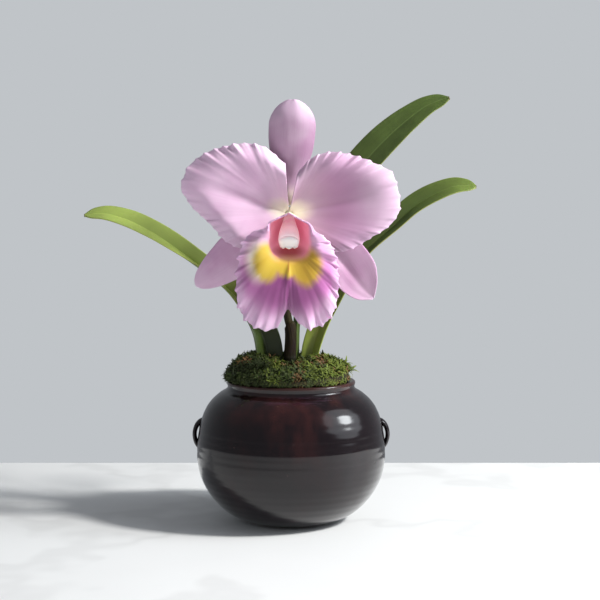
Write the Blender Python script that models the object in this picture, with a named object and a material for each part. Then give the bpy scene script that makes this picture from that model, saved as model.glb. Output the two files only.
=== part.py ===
"""Cattleya orchid with one bloom and three strap leaves, growing in a glazed round jar.

Metres, +Z up. The origin is the centre of the jar's flat foot, and the bloom faces -Y.
"""

from math import cos, degrees, pi, radians, sin

import bmesh
import bpy
import numpy as np
from mathutils import noise

# Clearance between pieces that touch, and how far a cutter goes past the end of what it clears
GAP = 0.0003
HOLE_DEPTH = 0.0030

# Jar
RIM_RADIUS = 0.0432
RIM_HEIGHT = 0.0960
BELLY_RADIUS = 0.0644
FOOT_RADIUS = 0.0285
WALL = 0.0048
JAR_SIDES = 36
JAR_OUTSIDE = [
    (RIM_RADIUS - 0.0006, RIM_HEIGHT),
    (RIM_RADIUS + 0.0006, RIM_HEIGHT - 0.0012),
    (RIM_RADIUS, 0.0922),
    (0.0440, 0.0900),
    (0.0462, 0.0892),
    (0.0468, 0.0880),
    (0.0535, 0.0832),
    (0.0586, 0.0760),
    (0.0620, 0.0670),
    (0.0638, 0.0570),
    (BELLY_RADIUS, 0.0475),
    (0.0637, 0.0375),
    (0.0606, 0.0270),
    (0.0557, 0.0185),
    (0.0492, 0.0108),
    (0.0418, 0.0052),
    (0.0342, 0.0018),
    (FOOT_RADIUS, 0.0),
]
LUG_TOP = 0.0690
LUG_BOTTOM = 0.0478
LUG_REACH = 0.0664
LUG_WIDTH = 0.0085
LUG_THICKNESS = 0.0024

# Growing mix, rhizome and moss
MIX_TOP = 0.0905
RHIZOME_HEIGHT = 0.0835
RHIZOME_RADIUS = 0.0052
RHIZOME_PATH = [(-0.0235, 0.0085), (-0.0120, 0.0045), (-0.0010, 0.0015), (0.0080, 0.0070), (0.0190, 0.0080)]
ROOT_COUNT = 7
ROOT_RADIUS = 0.0013
ROOT_LENGTH = 0.058
MOSS_RADIUS = 0.0430
MOSS_HEIGHT = 0.0105
MOSS_EDGE = 0.0030
MOSS_TUFT = 0.0042

# Flower stem: the sheathed foot, the stalk, the ovary and the receptacle that carries the bloom
BLOOM = np.array((-0.0012, -0.0135, 0.2090))
RECEPTACLE_RADIUS = 0.0048
RECEPTACLE_FRONT = -0.0160
STEM_PATH = [
    (-0.0008, 0.0010, 0.0893),
    (-0.0008, 0.0005, 0.1120),
    (-0.0009, 0.0004, 0.1335),
    (-0.0019, 0.0008, 0.1372),
    (-0.0022, 0.0030, 0.1600),
    (-0.0020, 0.0075, 0.1800),
    (-0.0015, 0.0085, 0.1950),
    (-0.0012, 0.0040, 0.2050),
    (-0.0012, -0.0045, 0.2090),
    (-0.0012, RECEPTACLE_FRONT, 0.2090),
]
STEM_RADII = [
    (0.0, 0.0046),
    (0.18, 0.0041),
    (0.318, 0.0040),
    (0.334, 0.0028),
    (0.60, 0.0026),
    (0.70, 0.0030),
    (0.82, 0.0037),
    (0.90, 0.0039),
    (0.93, RECEPTACLE_RADIUS),
    (1.0, RECEPTACLE_RADIUS),
]

# Blades. A strap is a spine in space with half widths along it.
# A fan has rays from the receptacle: an angle in degrees from +X towards +Z, and how far the ray reaches.
LEAF_THICKNESS = 0.0016
LEAF_ROWS = 22
LEAF_COLUMNS = 4
SEPAL_THICKNESS = 0.0009
PETAL_THICKNESS = 0.0008
LIP_THICKNESS = 0.0008

LEAVES = {
    "leaf_left": {
        "spine": [
            (-0.0162, 0.0060, 0.0898),
            (-0.0168, 0.0062, 0.1120),
            (-0.0195, 0.0075, 0.1240),
            (-0.0326, 0.0140, 0.1442),
            (-0.0481, 0.0185, 0.1599),
            (-0.0671, 0.0215, 0.1743),
            (-0.0998, 0.0225, 0.1969),
            (-0.1156, 0.0220, 0.2053),
            (-0.1301, 0.0215, 0.2101),
            (-0.1435, 0.0210, 0.2100),
        ],
        "widths": [
            (0, 0.0045),
            (0.08, 0.0105),
            (0.2, 0.0122),
            (0.45, 0.0118),
            (0.7, 0.0104),
            (0.88, 0.0070),
            (0.96, 0.0034),
            (1, 0.0007),
        ],
        "faces": [(0.35, -0.85, 0.20), (0.30, -0.62, 0.72), (0.25, -0.50, 0.83)],
        "fold": [(0, 48), (0.2, 22), (0.5, 26), (1, 22)],
    },
    "leaf_right_lower": {
        "spine": [
            (0.0142, 0.0065, 0.0898),
            (0.0148, 0.0067, 0.1120),
            (0.0192, 0.0085, 0.1279),
            (0.0317, 0.0150, 0.1510),
            (0.0499, 0.0200, 0.1799),
            (0.0735, 0.0215, 0.2021),
            (0.0853, 0.0215, 0.2132),
            (0.1005, 0.0210, 0.2229),
            (0.1149, 0.0205, 0.2285),
            (0.1276, 0.0200, 0.2286),
        ],
        "widths": [
            (0, 0.0040),
            (0.08, 0.0075),
            (0.2, 0.0084),
            (0.5, 0.0086),
            (0.72, 0.0086),
            (0.88, 0.0062),
            (0.96, 0.0034),
            (1, 0.0007),
        ],
        "faces": [(-0.45, -0.85, 0.15), (-0.45, -0.70, 0.45), (-0.25, -0.66, 0.60)],
        "fold": [(0, 48), (0.2, 24), (0.5, 24), (1, 20)],
    },
    "leaf_right_upper": {
        "spine": [
            (0.0047, 0.0092, 0.0898),
            (0.0048, 0.0096, 0.1160),
            (0.0054, 0.0110, 0.1340),
            (0.0082, 0.0135, 0.1553),
            (0.0151, 0.0165, 0.1787),
            (0.0262, 0.0185, 0.2049),
            (0.0400, 0.0200, 0.2284),
            (0.0690, 0.0200, 0.2615),
            (0.0834, 0.0200, 0.2738),
            (0.0964, 0.0195, 0.2834),
            (0.1090, 0.0190, 0.2886),
        ],
        "widths": [
            (0, 0.0030),
            (0.1, 0.0032),
            (0.22, 0.0050),
            (0.4, 0.0086),
            (0.7, 0.0098),
            (0.85, 0.0078),
            (0.94, 0.0046),
            (1, 0.0007),
        ],
        "faces": [(-0.90, -0.40, 0.05), (-0.60, -0.78, 0.10), (-0.40, -0.85, 0.30)],
        "fold": [(0, 62), (0.22, 48), (0.45, 20), (1, 16)],
    },
}

SEPAL_ROOT = RECEPTACLE_RADIUS + 3 * GAP
SEPALS = {
    "dorsal_sepal": {
        "spine": [
            (-0.0012, -0.0100, BLOOM[2] + SEPAL_ROOT),
            (-0.0006, -0.0085, 0.2330),
            (0.0004, -0.0072, 0.2560),
            (0.0012, -0.0078, 0.2740),
            (0.0016, -0.0100, 0.2846),
        ],
        "widths": [(0, 0.0024), (0.2, 0.0050), (0.42, 0.0112), (0.55, 0.0150), (0.68, 0.0162), (0.82, 0.0148), (0.91, 0.0116), (0.97, 0.0070), (1, 0.0018)],
        "cup": -0.30,
    },
    "lateral_sepal_left": {
        "spine": [
            (-0.0054, -0.0100, 0.2063),
            (-0.0240, -0.0060, 0.1955),
            (-0.0410, -0.0020, 0.1795),
            (-0.0545, 0.0000, 0.1640),
            (-0.0640, 0.0000, 0.1575),
        ],
        "widths": [(0, 0.0024), (0.25, 0.0090), (0.5, 0.0152), (0.66, 0.0160), (0.82, 0.0138), (0.93, 0.0084), (1, 0.0012)],
        "cup": -0.14,
    },
    "lateral_sepal_right": {
        "spine": [
            (0.0030, -0.0100, 0.2063),
            (0.0205, -0.0060, 0.1935),
            (0.0350, -0.0020, 0.1765),
            (0.0480, 0.0000, 0.1595),
            (0.0560, 0.0000, 0.1515),
        ],
        "widths": [(0, 0.0024), (0.25, 0.0090), (0.5, 0.0148), (0.66, 0.0154), (0.82, 0.0132), (0.93, 0.0080), (1, 0.0012)],
        "cup": 0.16,
    },
}

PETAL_ROOT = RECEPTACLE_RADIUS + GAP
PETALS = {
    "petal_left": {
        "outline": [
            (94, 0.0330),
            (100, 0.0372),
            (108, 0.0455),
            (119, 0.0537),
            (131, 0.0605),
            (146, 0.0702),
            (156, 0.0745),
            (165, 0.0748),
            (173, 0.0678),
            (186, 0.0540),
            (204, 0.0452),
            (215, 0.0392),
            (224, 0.0300),
        ],
        "axis": 162,
    },
    "petal_right": {
        "outline": [
            (-48, 0.0300),
            (-38, 0.0405),
            (-27, 0.0488),
            (-17, 0.0556),
            (-4, 0.0695),
            (5, 0.0742),
            (20, 0.0740),
            (32, 0.0650),
            (47, 0.0548),
            (58, 0.0480),
            (68, 0.0395),
            (78, 0.0270),
        ],
        "axis": 12,
    },
}
PETAL_BOW = 0.0060
PETAL_TIP_BACK = 0.0040
PETAL_GROOVE = 0.0016
PETAL_RUFFLE = 0.0019
PETAL_WAVE = 0.0115

# Lip: a tube round the column that opens into a frilled skirt. Angles turn from straight down towards +X.
LIP_MOUTH = np.array((-0.0010, -0.0400, 0.1905))
LIP_ROOT_RADIUS = 0.0045
LIP_SEAM = 175
LIP_MOUTH_RADII = [(-LIP_SEAM, 0.0168), (-142, 0.0176), (-118, 0.0140), (-90, 0.0130), (90, 0.0130), (118, 0.0132), (142, 0.0164), (LIP_SEAM, 0.0168)]
LIP_OUTLINE = [
    (-LIP_SEAM, 0.0178),
    (-142, 0.0188),
    (-123, 0.0168),
    (-114, 0.0212),
    (-104, 0.0258),
    (-90, 0.0300),
    (-70, 0.0350),
    (-55, 0.0412),
    (-40, 0.0505),
    (-27, 0.0584),
    (-17, 0.0598),
    (-8, 0.0560),
    (-1, 0.0438),
    (6, 0.0520),
    (14, 0.0585),
    (27, 0.0566),
    (40, 0.0482),
    (56, 0.0382),
    (72, 0.0325),
    (88, 0.0268),
    (102, 0.0212),
    (119, 0.0166),
    (142, 0.0176),
    (LIP_SEAM, 0.0178),
]
LIP_TUBE_SHARE = 0.42
LIP_SKIRT_FORWARD = 0.0055
LIP_SKIRT_BACK = 0.0075
LIP_FULL_SKIRT = 0.020
LIP_RUFFLE = 0.0022
LIP_WAVE = 0.0120

# Column and the cap on its tip
COLUMN_ROOT = np.array((-0.0012, RECEPTACLE_FRONT - GAP, 0.2089))
COLUMN_TIP = np.array((-0.0011, -0.0352, 0.1945))
COLUMN_WIDTHS = [(0, 0.0034), (0.3, 0.0042), (0.7, 0.0062), (0.92, 0.0069), (1, 0.0062)]
COLUMN_DEPTHS = [(0, 0.0032), (0.5, 0.0034), (0.92, 0.0037), (1, 0.0030)]
CAP_LENGTH = 0.0036
CAP_TOOTH = 0.0009

# Colour, roughness and metallic value of each finish
FINISHES = {
    "glaze": ((0.030, 0.012, 0.014), 0.14, 0.0),
    "mix": ((0.070, 0.040, 0.024), 0.90, 0.0),
    "root": ((0.420, 0.400, 0.290), 0.70, 0.0),
    "moss": ((0.060, 0.085, 0.020), 0.95, 0.0),
    "stem": ((0.060, 0.055, 0.020), 0.45, 0.0),
    "leaf": ((0.110, 0.230, 0.030), 0.38, 0.0),
    "petal": ((0.700, 0.440, 0.640), 0.50, 0.0),
    "lip": ((0.560, 0.210, 0.500), 0.50, 0.0),
    "column": ((0.800, 0.560, 0.620), 0.40, 0.0),
    "cap": ((0.900, 0.820, 0.800), 0.35, 0.0),
}


def clear_scene():
    for obj in list(bpy.data.objects):
        bpy.data.objects.remove(obj, do_unlink=True)


def finish(name):
    """The named finish as a Principled material, made once."""
    found = bpy.data.materials.get(name)
    if found:
        return found
    colour, roughness, metallic = FINISHES[name]
    material = bpy.data.materials.new(name)
    material.use_nodes = True
    shader = material.node_tree.nodes["Principled BSDF"]
    shader.inputs["Base Color"].default_value = (*colour, 1)
    shader.inputs["Roughness"].default_value = roughness
    shader.inputs["Metallic"].default_value = metallic
    return material


def calmed(slopes, secants):
    """Slopes that keep a curve of plain values from swinging past its stations."""
    before = np.concatenate([secants[:1], secants])
    after = np.concatenate([secants, secants[-1:]])
    limit = 3 * np.minimum(abs(before), abs(after)) * (before * after > 0)
    return np.clip(slopes, -limit, limit)


def along(stations, position):
    """The value at a position, on a smooth curve through (place, value) stations."""
    places = np.array([place for place, _ in stations], float)
    values = np.array([value for _, value in stations], float)
    slopes = np.gradient(values, places, axis=0)
    if values.ndim == 1:
        slopes = calmed(slopes, np.diff(values) / np.diff(places))
    k = int(np.clip(np.searchsorted(places, position) - 1, 0, len(places) - 2))
    span = places[k + 1] - places[k]
    t = (position - places[k]) / span
    start = values[k] * (2 * t**3 - 3 * t**2 + 1) + slopes[k] * span * (t**3 - 2 * t**2 + t)
    end = values[k + 1] * (3 * t**2 - 2 * t**3) + slopes[k + 1] * span * (t**3 - t**2)
    return start + end


def path_stations(points):
    """Stations for a path: each point at its share of the way along the chords."""
    points = np.array(points, float)
    steps = np.linalg.norm(np.diff(points, axis=0), axis=1)
    shares = np.concatenate([[0], np.cumsum(steps)]) / steps.sum()
    return list(zip(shares, points))


def unit(vector):
    return vector / np.linalg.norm(vector)


def heading(path, share):
    """Unit direction of a path at a share of its length."""
    reach = 0.01
    return unit(along(path, min(share + reach, 1)) - along(path, max(share - reach, 0)))


def link(name, mesh, material):
    obj = bpy.data.objects.new(name, mesh)
    obj.data.materials.append(finish(material))
    bpy.context.scene.collection.objects.link(obj)
    return obj


def as_guide(obj):
    """A cutter or a part of a union, which is no piece of its own."""
    obj.hide_render = True
    obj.display_type = "WIRE"
    return obj


def sheet(name, grid, thickness, material):
    """A thin blade: a grid of points split into triangles, given its thickness on both sides."""
    rows, columns = len(grid), len(grid[0])
    mesh = bpy.data.meshes.new(name)
    work = bmesh.new()
    corners = [[work.verts.new(point) for point in row] for row in grid]
    for i in range(rows - 1):
        for j in range(columns - 1):
            a, b = corners[i][j], corners[i][j + 1]
            c, d = corners[i + 1][j + 1], corners[i + 1][j]
            work.faces.new((a, b, c))
            work.faces.new((a, c, d))
    bmesh.ops.recalc_face_normals(work, faces=work.faces)
    work.to_mesh(mesh)
    work.free()
    obj = link(name, mesh, material)
    solidify = obj.modifiers.new("thickness", "SOLIDIFY")
    solidify.thickness = thickness
    solidify.offset = 0
    return obj


def loft(name, rings, material):
    """A closed body through rings of points, with a flat cap at both ends."""
    mesh = bpy.data.meshes.new(name)
    work = bmesh.new()
    loops = [[work.verts.new(point) for point in ring] for ring in rings]
    sides = len(loops[0])
    for lower, upper in zip(loops, loops[1:]):
        for k in range(sides):
            following = (k + 1) % sides
            work.faces.new((lower[k], lower[following], upper[following], upper[k]))
    work.faces.new(reversed(loops[0]))
    work.faces.new(loops[-1])
    bmesh.ops.recalc_face_normals(work, faces=work.faces)
    work.to_mesh(mesh)
    work.free()
    mesh.shade_smooth()
    mesh.set_sharp_from_angle(angle=radians(50))
    return link(name, mesh, material)


def tube_rings(path, radii, count, sides, grow=0.0):
    """Round rings along a path, kept from twisting by a fixed side direction."""
    rings = []
    for i in range(count + 1):
        share = i / count
        forward = heading(path, share)
        across = unit(np.cross(forward, (0.02, 1, 0.55)))
        upward = np.cross(forward, across)
        radius = along(radii, share) + grow
        centre = along(path, share)
        turns = [2 * pi * k / sides for k in range(sides)]
        rings.append([centre + radius * (cos(a) * across + sin(a) * upward) for a in turns])
    return rings


def boolean(obj, operation, operand):
    """Adds a Boolean with one object or a whole collection."""
    modifier = obj.modifiers.new(operation.lower(), "BOOLEAN")
    modifier.operation = operation
    if isinstance(operand, bpy.types.Collection):
        modifier.operand_type = "COLLECTION"
        modifier.collection = operand
    else:
        modifier.object = operand
    return modifier


def gather(name, objects):
    """A collection of guides for one Boolean."""
    group = bpy.data.collections.new(name)
    bpy.context.scene.collection.children.link(group)
    for obj in objects:
        bpy.context.scene.collection.objects.unlink(obj)
        group.objects.link(as_guide(obj))
    return group


def jar_inside():
    """The hollow's profile from the rim's inner edge down to the floor, a wall's thickness in."""
    rim = [(RIM_RADIUS - 0.0022, RIM_HEIGHT - 0.0002), (RIM_RADIUS - WALL + 0.0004, RIM_HEIGHT - 0.0020)]
    belly = [(radius - WALL, height) for radius, height in JAR_OUTSIDE[4:14:2]]
    return rim + belly + [(0.0440, WALL + 0.0075), (0.0340, WALL)]


def turned(name, profile, material):
    """A body turned round +Z from a profile that runs down its outer side and ends on the axis."""
    mesh = bpy.data.meshes.new(name)
    work = bmesh.new()
    points = [work.verts.new((radius, 0, height)) for radius, height in profile]
    for first, second in zip(points, points[1:]):
        work.edges.new((first, second))
    work.to_mesh(mesh)
    work.free()
    obj = link(name, mesh, material)
    screw = obj.modifiers.new("turn", "SCREW")
    screw.steps = screw.render_steps = JAR_SIDES
    screw.use_merge_vertices = True
    screw.merge_threshold = 0.00005
    return obj


def lug(side):
    """A strap handle, bowed out from the belly on one side and sunk in it at both ends."""
    middle = (LUG_TOP + LUG_BOTTOM) / 2
    half = (LUG_TOP - LUG_BOTTOM) / 2
    root = BELLY_RADIUS - 0.0042
    rings = []
    steps = 10
    for i in range(steps + 1):
        turn = pi * (i / steps - 0.5)
        centre = np.array((root + (LUG_REACH - root) * cos(turn) ** 0.75, 0, middle + half * sin(turn) * 0.9))
        outward = unit(np.array((cos(turn) + 0.25, 0, sin(turn))))
        ring = [
            centre + outward * LUG_THICKNESS / 2 * a + np.array((0, 1, 0)) * LUG_WIDTH / 2 * b
            for a, b in ((-1, -1), (1, -1), (1, 1), (-1, 1))
        ]
        rings.append([point * (side, 1, 1) for point in ring])
    return loft(f"lug_{side}", rings, "glaze")


def make_jar():
    hollow = list(reversed(jar_inside()))
    profile = [(0.0, WALL)] + hollow + JAR_OUTSIDE + [(0.0, 0.0)]
    jar = turned("jar", profile, "glaze")
    boolean(jar, "UNION", gather("lugs", [lug(-1), lug(1)]))
    jar.data.shade_smooth()


def rhizome_path():
    return path_stations([(x, y, RHIZOME_HEIGHT) for x, y in RHIZOME_PATH])


def root_path(index):
    """A root that leaves the rhizome sideways and winds down through the mix."""
    path = rhizome_path()
    start = along(path, 0.08 + 0.84 * index / (ROOT_COUNT - 1))
    turn = 2 * pi * index * 0.382
    points = []
    for step in range(6):
        t = step / 5
        spread = 0.006 + 0.020 * t**0.7
        angle = turn + 0.9 * t
        drop = ROOT_LENGTH * t**1.15 + 0.0010
        points.append(start + np.array((spread * cos(angle) * t, spread * sin(angle) * t, -drop)))
    return path_stations(points)


def rhizome_bodies(prefix, grow):
    """The rhizome's rod and its roots, all thicker by grow."""
    knots = [(i / 8, RHIZOME_RADIUS * (1 + 0.08 * cos(i * pi))) for i in range(9)]
    rod = loft(f"{prefix}rod", tube_rings(rhizome_path(), knots, 16, 10, grow), "root")
    roots = [
        loft(
            f"{prefix}root_{i}",
            tube_rings(root_path(i), [(0, ROOT_RADIUS * 1.2), (1, ROOT_RADIUS * 0.6)], 7, 6, grow),
            "root",
        )
        for i in range(ROOT_COUNT)
    ]
    return rod, roots


def make_rhizome():
    rod, roots = rhizome_bodies("", 0.0)
    rod.name = "rhizome"
    boolean(rod, "UNION", gather("roots", roots))


def stem_rings(grow=0.0):
    return tube_rings(path_stations(STEM_PATH), STEM_RADII, 44, 10, grow)


def strap_grid(blade, rows, columns, spread=0.0):
    """Points of a long blade. Its halves rise from the midrib by a fold in degrees, or curve by a cup."""
    path = path_stations(blade["spine"])
    faces = blade.get("faces", [(0, -1, 0)])
    looks = [(i / max(len(faces) - 1, 1), unit(np.array(face, float))) for i, face in enumerate(faces)]
    grid = []
    for i in range(rows + 1):
        share = 1 - (1 - i / rows) ** 1.45
        forward = heading(path, share)
        look = along(looks, share) if len(looks) > 1 else looks[0][1]
        across = unit(np.cross(forward, look))
        lift = np.cross(across, forward)
        half = along(blade["widths"], share) + spread
        fold = radians(along(blade["fold"], share)) if "fold" in blade else 0.0
        row = []
        for j in range(columns + 1):
            v = 2 * j / columns - 1
            rise = abs(v) * sin(fold) + blade.get("cup", 0.0) * v * v
            row.append(along(path, share) + half * (v * cos(fold) * across + rise * lift))
        grid.append(row)
    return grid


def make_leaves():
    for name, blade in LEAVES.items():
        sheet(name, strap_grid(blade, LEAF_ROWS, LEAF_COLUMNS), LEAF_THICKNESS, "leaf")


def make_sepals():
    for name, blade in SEPALS.items():
        sheet(name, strap_grid(blade, 14, 6), SEPAL_THICKNESS, "petal")


def ruffle(distance, wavelength):
    """Uneven folds along an edge, from -1 to 1, at a distance round it."""
    turn = 2 * pi * distance / wavelength
    return 0.72 * sin(turn) + 0.28 * sin(0.43 * turn + 1.3)


def edge_distances(outline, angles):
    """How far round the edge each ray's end is."""
    ends = [along(outline, a) * np.array((cos(radians(a)), sin(radians(a)))) for a in angles]
    steps = [np.linalg.norm(b - a) for a, b in zip(ends, ends[1:])]
    return np.concatenate([[0], np.cumsum(steps)])


def petal_grid(petal, rays, rows):
    outline = petal["outline"]
    low, high = outline[0][0], outline[-1][0]
    angles = np.linspace(low, high, rays + 1)
    distances = edge_distances(outline, angles)
    grid = []
    for angle, distance in zip(angles, distances):
        reach = along(outline, angle)
        turn = radians(angle)
        off_axis = (angle - petal["axis"]) / (high - low) * 2
        row = []
        for j in range(rows + 1):
            t = (j / rows) ** 0.8
            radius = PETAL_ROOT + (reach - PETAL_ROOT) * t
            bow = PETAL_BOW * sin(pi * t) ** 0.9 - PETAL_TIP_BACK * t**2
            groove = PETAL_GROOVE * sin(pi * t) * (1 - off_axis**2) ** 2 if abs(off_axis) < 1 else 0
            fold = PETAL_RUFFLE * t**2.6 * ruffle(distance, PETAL_WAVE)
            depth = bow - groove + fold
            row.append(BLOOM + (radius * cos(turn), -depth, radius * sin(turn)))
        grid.append(row)
    return grid


def make_petals():
    for name, petal in PETALS.items():
        sheet(name, petal_grid(petal, 60, 6), PETAL_THICKNESS, "petal")


def lip_point(angle, distance, s):
    """A point of the lip on one ray, from the tube's root at 0 to the skirt's edge at 1."""
    turn = radians(angle)
    mouth = along(LIP_MOUTH_RADII, angle)
    edge = along(LIP_OUTLINE, angle)
    root = np.array((BLOOM[0], RECEPTACLE_FRONT - GAP, BLOOM[2]))
    if s < LIP_TUBE_SHARE:
        t = s / LIP_TUBE_SHARE
        centre = root + (LIP_MOUTH - root) * t
        radius = LIP_ROOT_RADIUS + (mouth - LIP_ROOT_RADIUS) * t**0.7
        return centre + radius * np.array((sin(turn), 0, -cos(turn)))
    t = (s - LIP_TUBE_SHARE) / (1 - LIP_TUBE_SHARE)
    fullness = min((edge - mouth) / LIP_FULL_SKIRT, 1)
    radius = mouth + (edge - mouth) * t**1.25
    forward = LIP_SKIRT_FORWARD * sin(pi / 2 * min(t / 0.55, 1)) - LIP_SKIRT_BACK * fullness * t**2.2
    fold = LIP_RUFFLE * t**1.6 * fullness * ruffle(distance, LIP_WAVE)
    return LIP_MOUTH + (radius * sin(turn), -forward - fold, -radius * cos(turn))


def make_lip():
    angles = np.linspace(-LIP_SEAM, LIP_SEAM, 85)
    distances = edge_distances(LIP_OUTLINE, angles)
    shares = [0, 0.2, LIP_TUBE_SHARE, 0.54, 0.68, 0.84, 1]
    grid = [[lip_point(a, d, s) for s in shares] for a, d in zip(angles, distances)]
    sheet("lip", grid, LIP_THICKNESS, "lip")


def column_rings(count, sides, shares):
    """Flattened rings from the column's root to its tip."""
    path = path_stations([COLUMN_ROOT, (COLUMN_ROOT + COLUMN_TIP) / 2 + (0, 0, 0.0008), COLUMN_TIP])
    across = np.array((1.0, 0, 0))
    rings = []
    for share in shares:
        forward = heading(path, share) if share > 0 else np.array((0, -1.0, 0))
        upward = np.cross(across, forward) * -1
        half_width, half_depth = along(COLUMN_WIDTHS, share), along(COLUMN_DEPTHS, share)
        turns = [2 * pi * k / sides for k in range(sides)]
        centre = along(path, share)
        rings.append([centre + half_width * cos(a) * across + half_depth * sin(a) * upward for a in turns])
    return rings


def make_column():
    sides = 14
    rings = column_rings(8, sides, [i / 8 for i in range(9)])
    loft("column", rings, "column")
    forward = unit(COLUMN_TIP - (COLUMN_ROOT + COLUMN_TIP) / 2)
    base = np.array(rings[-1]) + forward * GAP
    centre = base.mean(axis=0)
    cap = []
    for t in (0, 0.35, 0.7, 1):
        size = 0.94 * (1 - 0.55 * t**2.2)
        ring = []
        for k, point in enumerate(base):
            low_side = sin(2 * pi * k / sides) < -0.3
            tooth = CAP_TOOTH * t * (1 if k % 2 else -1) if low_side else 0
            ring.append(centre + (point - centre) * size + forward * (CAP_LENGTH * t + tooth))
        cap.append(ring)
    loft("anther_cap", cap, "cap")


def deepened(rows):
    """The rows of a body with one more below the first, so that a cutter reaches past its end."""
    return [[point - (0, 0, HOLE_DEPTH) for point in rows[0]]] + rows


def holes(prefix):
    """The spaces that the stem and the leaves stand in, a clearance larger than they are."""
    found = [loft(f"{prefix}stem_hole", deepened(stem_rings(GAP)), "stem")]
    for name, blade in LEAVES.items():
        grid = deepened(strap_grid(blade, LEAF_ROWS, LEAF_COLUMNS, GAP))
        found.append(sheet(f"{prefix}{name}_hole", grid, LEAF_THICKNESS + 2 * GAP, "leaf"))
    return found


def make_mix():
    """Bark mix that fills the jar up to the moss."""
    wall = jar_inside()
    top_radius = np.interp(MIX_TOP, [height for _, height in reversed(wall)], [r for r, _ in reversed(wall)])
    below = [(radius, height) for radius, height in wall if height < MIX_TOP]
    inside = [(radius - GAP, height + (GAP if height < RIM_HEIGHT / 2 else -GAP)) for radius, height in below]
    profile = [(0.0, MIX_TOP), (top_radius - 2 * GAP, MIX_TOP)] + inside + [(0.0, WALL + GAP)]
    mix = turned("potting_mix", profile, "mix")
    rod, roots = rhizome_bodies("mix_", GAP)
    boolean(mix, "DIFFERENCE", gather("mix_holes", [rod] + roots + holes("mix_")))


def moss_surface(x, y, height):
    """How far the tufts raise the moss at a place on its dome."""
    lumps = noise.noise((x * 150, y * 150, 3.7))
    tufts = noise.noise((x * 330, y * 330, height * 330 + 9.1))
    return MOSS_TUFT * (0.55 * lumps + 0.75 * tufts)


def make_moss():
    """A cushion of moss on the mix, domed over the rim, its tufts raised by a formula."""
    sides, rows = 38, 9
    low, rim = MIX_TOP + GAP, RIM_HEIGHT + GAP
    inner = RIM_RADIUS - WALL - 2 * GAP
    rings = [(inner, low), (inner, rim - 0.0012), (RIM_RADIUS - 0.0026, rim + 0.0008), (MOSS_RADIUS, rim + MOSS_EDGE)]
    rings = [[np.array((r * cos(a), r * sin(a), z)) for a in np.linspace(0, 2 * pi, sides, False)] for r, z in rings]
    for i in range(1, rows + 1):
        share = 1 - i / (rows + 0.6)
        radius = MOSS_RADIUS * (share**0.8)
        ring = []
        for a in np.linspace(0, 2 * pi, sides, False):
            x, y = radius * cos(a + 0.07 * (i % 2)), radius * sin(a + 0.07 * (i % 2))
            dome = rim + MOSS_EDGE + MOSS_HEIGHT * (1 - (radius / MOSS_RADIUS) ** 3.2)
            raised = moss_surface(x, y, dome)
            ring.append(np.array((x * (1 + 6 * raised), y * (1 + 6 * raised), dome + 0.0012 + raised)))
        rings.append(ring)
    moss = loft("moss", rings, "moss")
    boolean(moss, "DIFFERENCE", gather("moss_holes", holes("moss_")))


def main():
    clear_scene()
    make_jar()
    make_rhizome()
    make_mix()
    make_moss()
    loft("flower_stem", stem_rings(), "stem")
    make_leaves()
    make_sepals()
    make_petals()
    make_lip()
    make_column()


main()
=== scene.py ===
"""The looks of a cattleya orchid in a glazed jar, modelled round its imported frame.

Metres, +Z up. The origin is the centre of the jar's foot, and the bloom faces -Y.
"""

import random
from functools import partial
from math import cos, pi, radians, sin

import bpy
import numpy as np
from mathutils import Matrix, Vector, noise


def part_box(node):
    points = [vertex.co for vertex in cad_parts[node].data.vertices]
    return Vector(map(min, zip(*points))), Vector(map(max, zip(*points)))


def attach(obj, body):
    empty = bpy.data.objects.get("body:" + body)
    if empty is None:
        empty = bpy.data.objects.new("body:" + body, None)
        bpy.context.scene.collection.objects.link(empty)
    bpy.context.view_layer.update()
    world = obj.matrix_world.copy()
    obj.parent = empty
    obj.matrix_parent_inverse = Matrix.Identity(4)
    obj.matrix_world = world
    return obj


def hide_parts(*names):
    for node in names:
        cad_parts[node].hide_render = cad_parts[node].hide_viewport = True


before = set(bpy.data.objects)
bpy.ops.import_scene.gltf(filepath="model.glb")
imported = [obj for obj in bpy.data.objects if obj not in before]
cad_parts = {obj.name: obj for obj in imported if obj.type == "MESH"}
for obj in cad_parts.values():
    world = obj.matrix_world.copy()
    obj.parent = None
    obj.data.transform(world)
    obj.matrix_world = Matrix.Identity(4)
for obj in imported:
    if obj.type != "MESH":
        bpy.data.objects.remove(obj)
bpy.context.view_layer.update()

bl_info = {
    "name": "Potted cattleya",
    "version": (1, 0, 0),
    "blender": (4, 5, 0),
    "location": "3D View > Sidebar > Cattleya",
    "description": "Models a cattleya orchid in a glazed jar, piece by piece",
    "category": "Add Mesh",
}


def linear(red, green, blue):
    """A display colour from 0 to 255 a channel, as the linear light that Blender works in."""
    shares = [value / 255 for value in (red, green, blue)]
    return tuple(s / 12.92 if s <= 0.04045 else ((s + 0.055) / 1.055) ** 2.4 for s in shares)


# Places and sizes that the pieces share
BLOOM = np.array((-0.0012, -0.0135, 0.2090))
RECEPTACLE_RADIUS = 0.0048
RECEPTACLE_FRONT = -0.0132
ROOT_CLEARANCE = 0.0003

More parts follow.
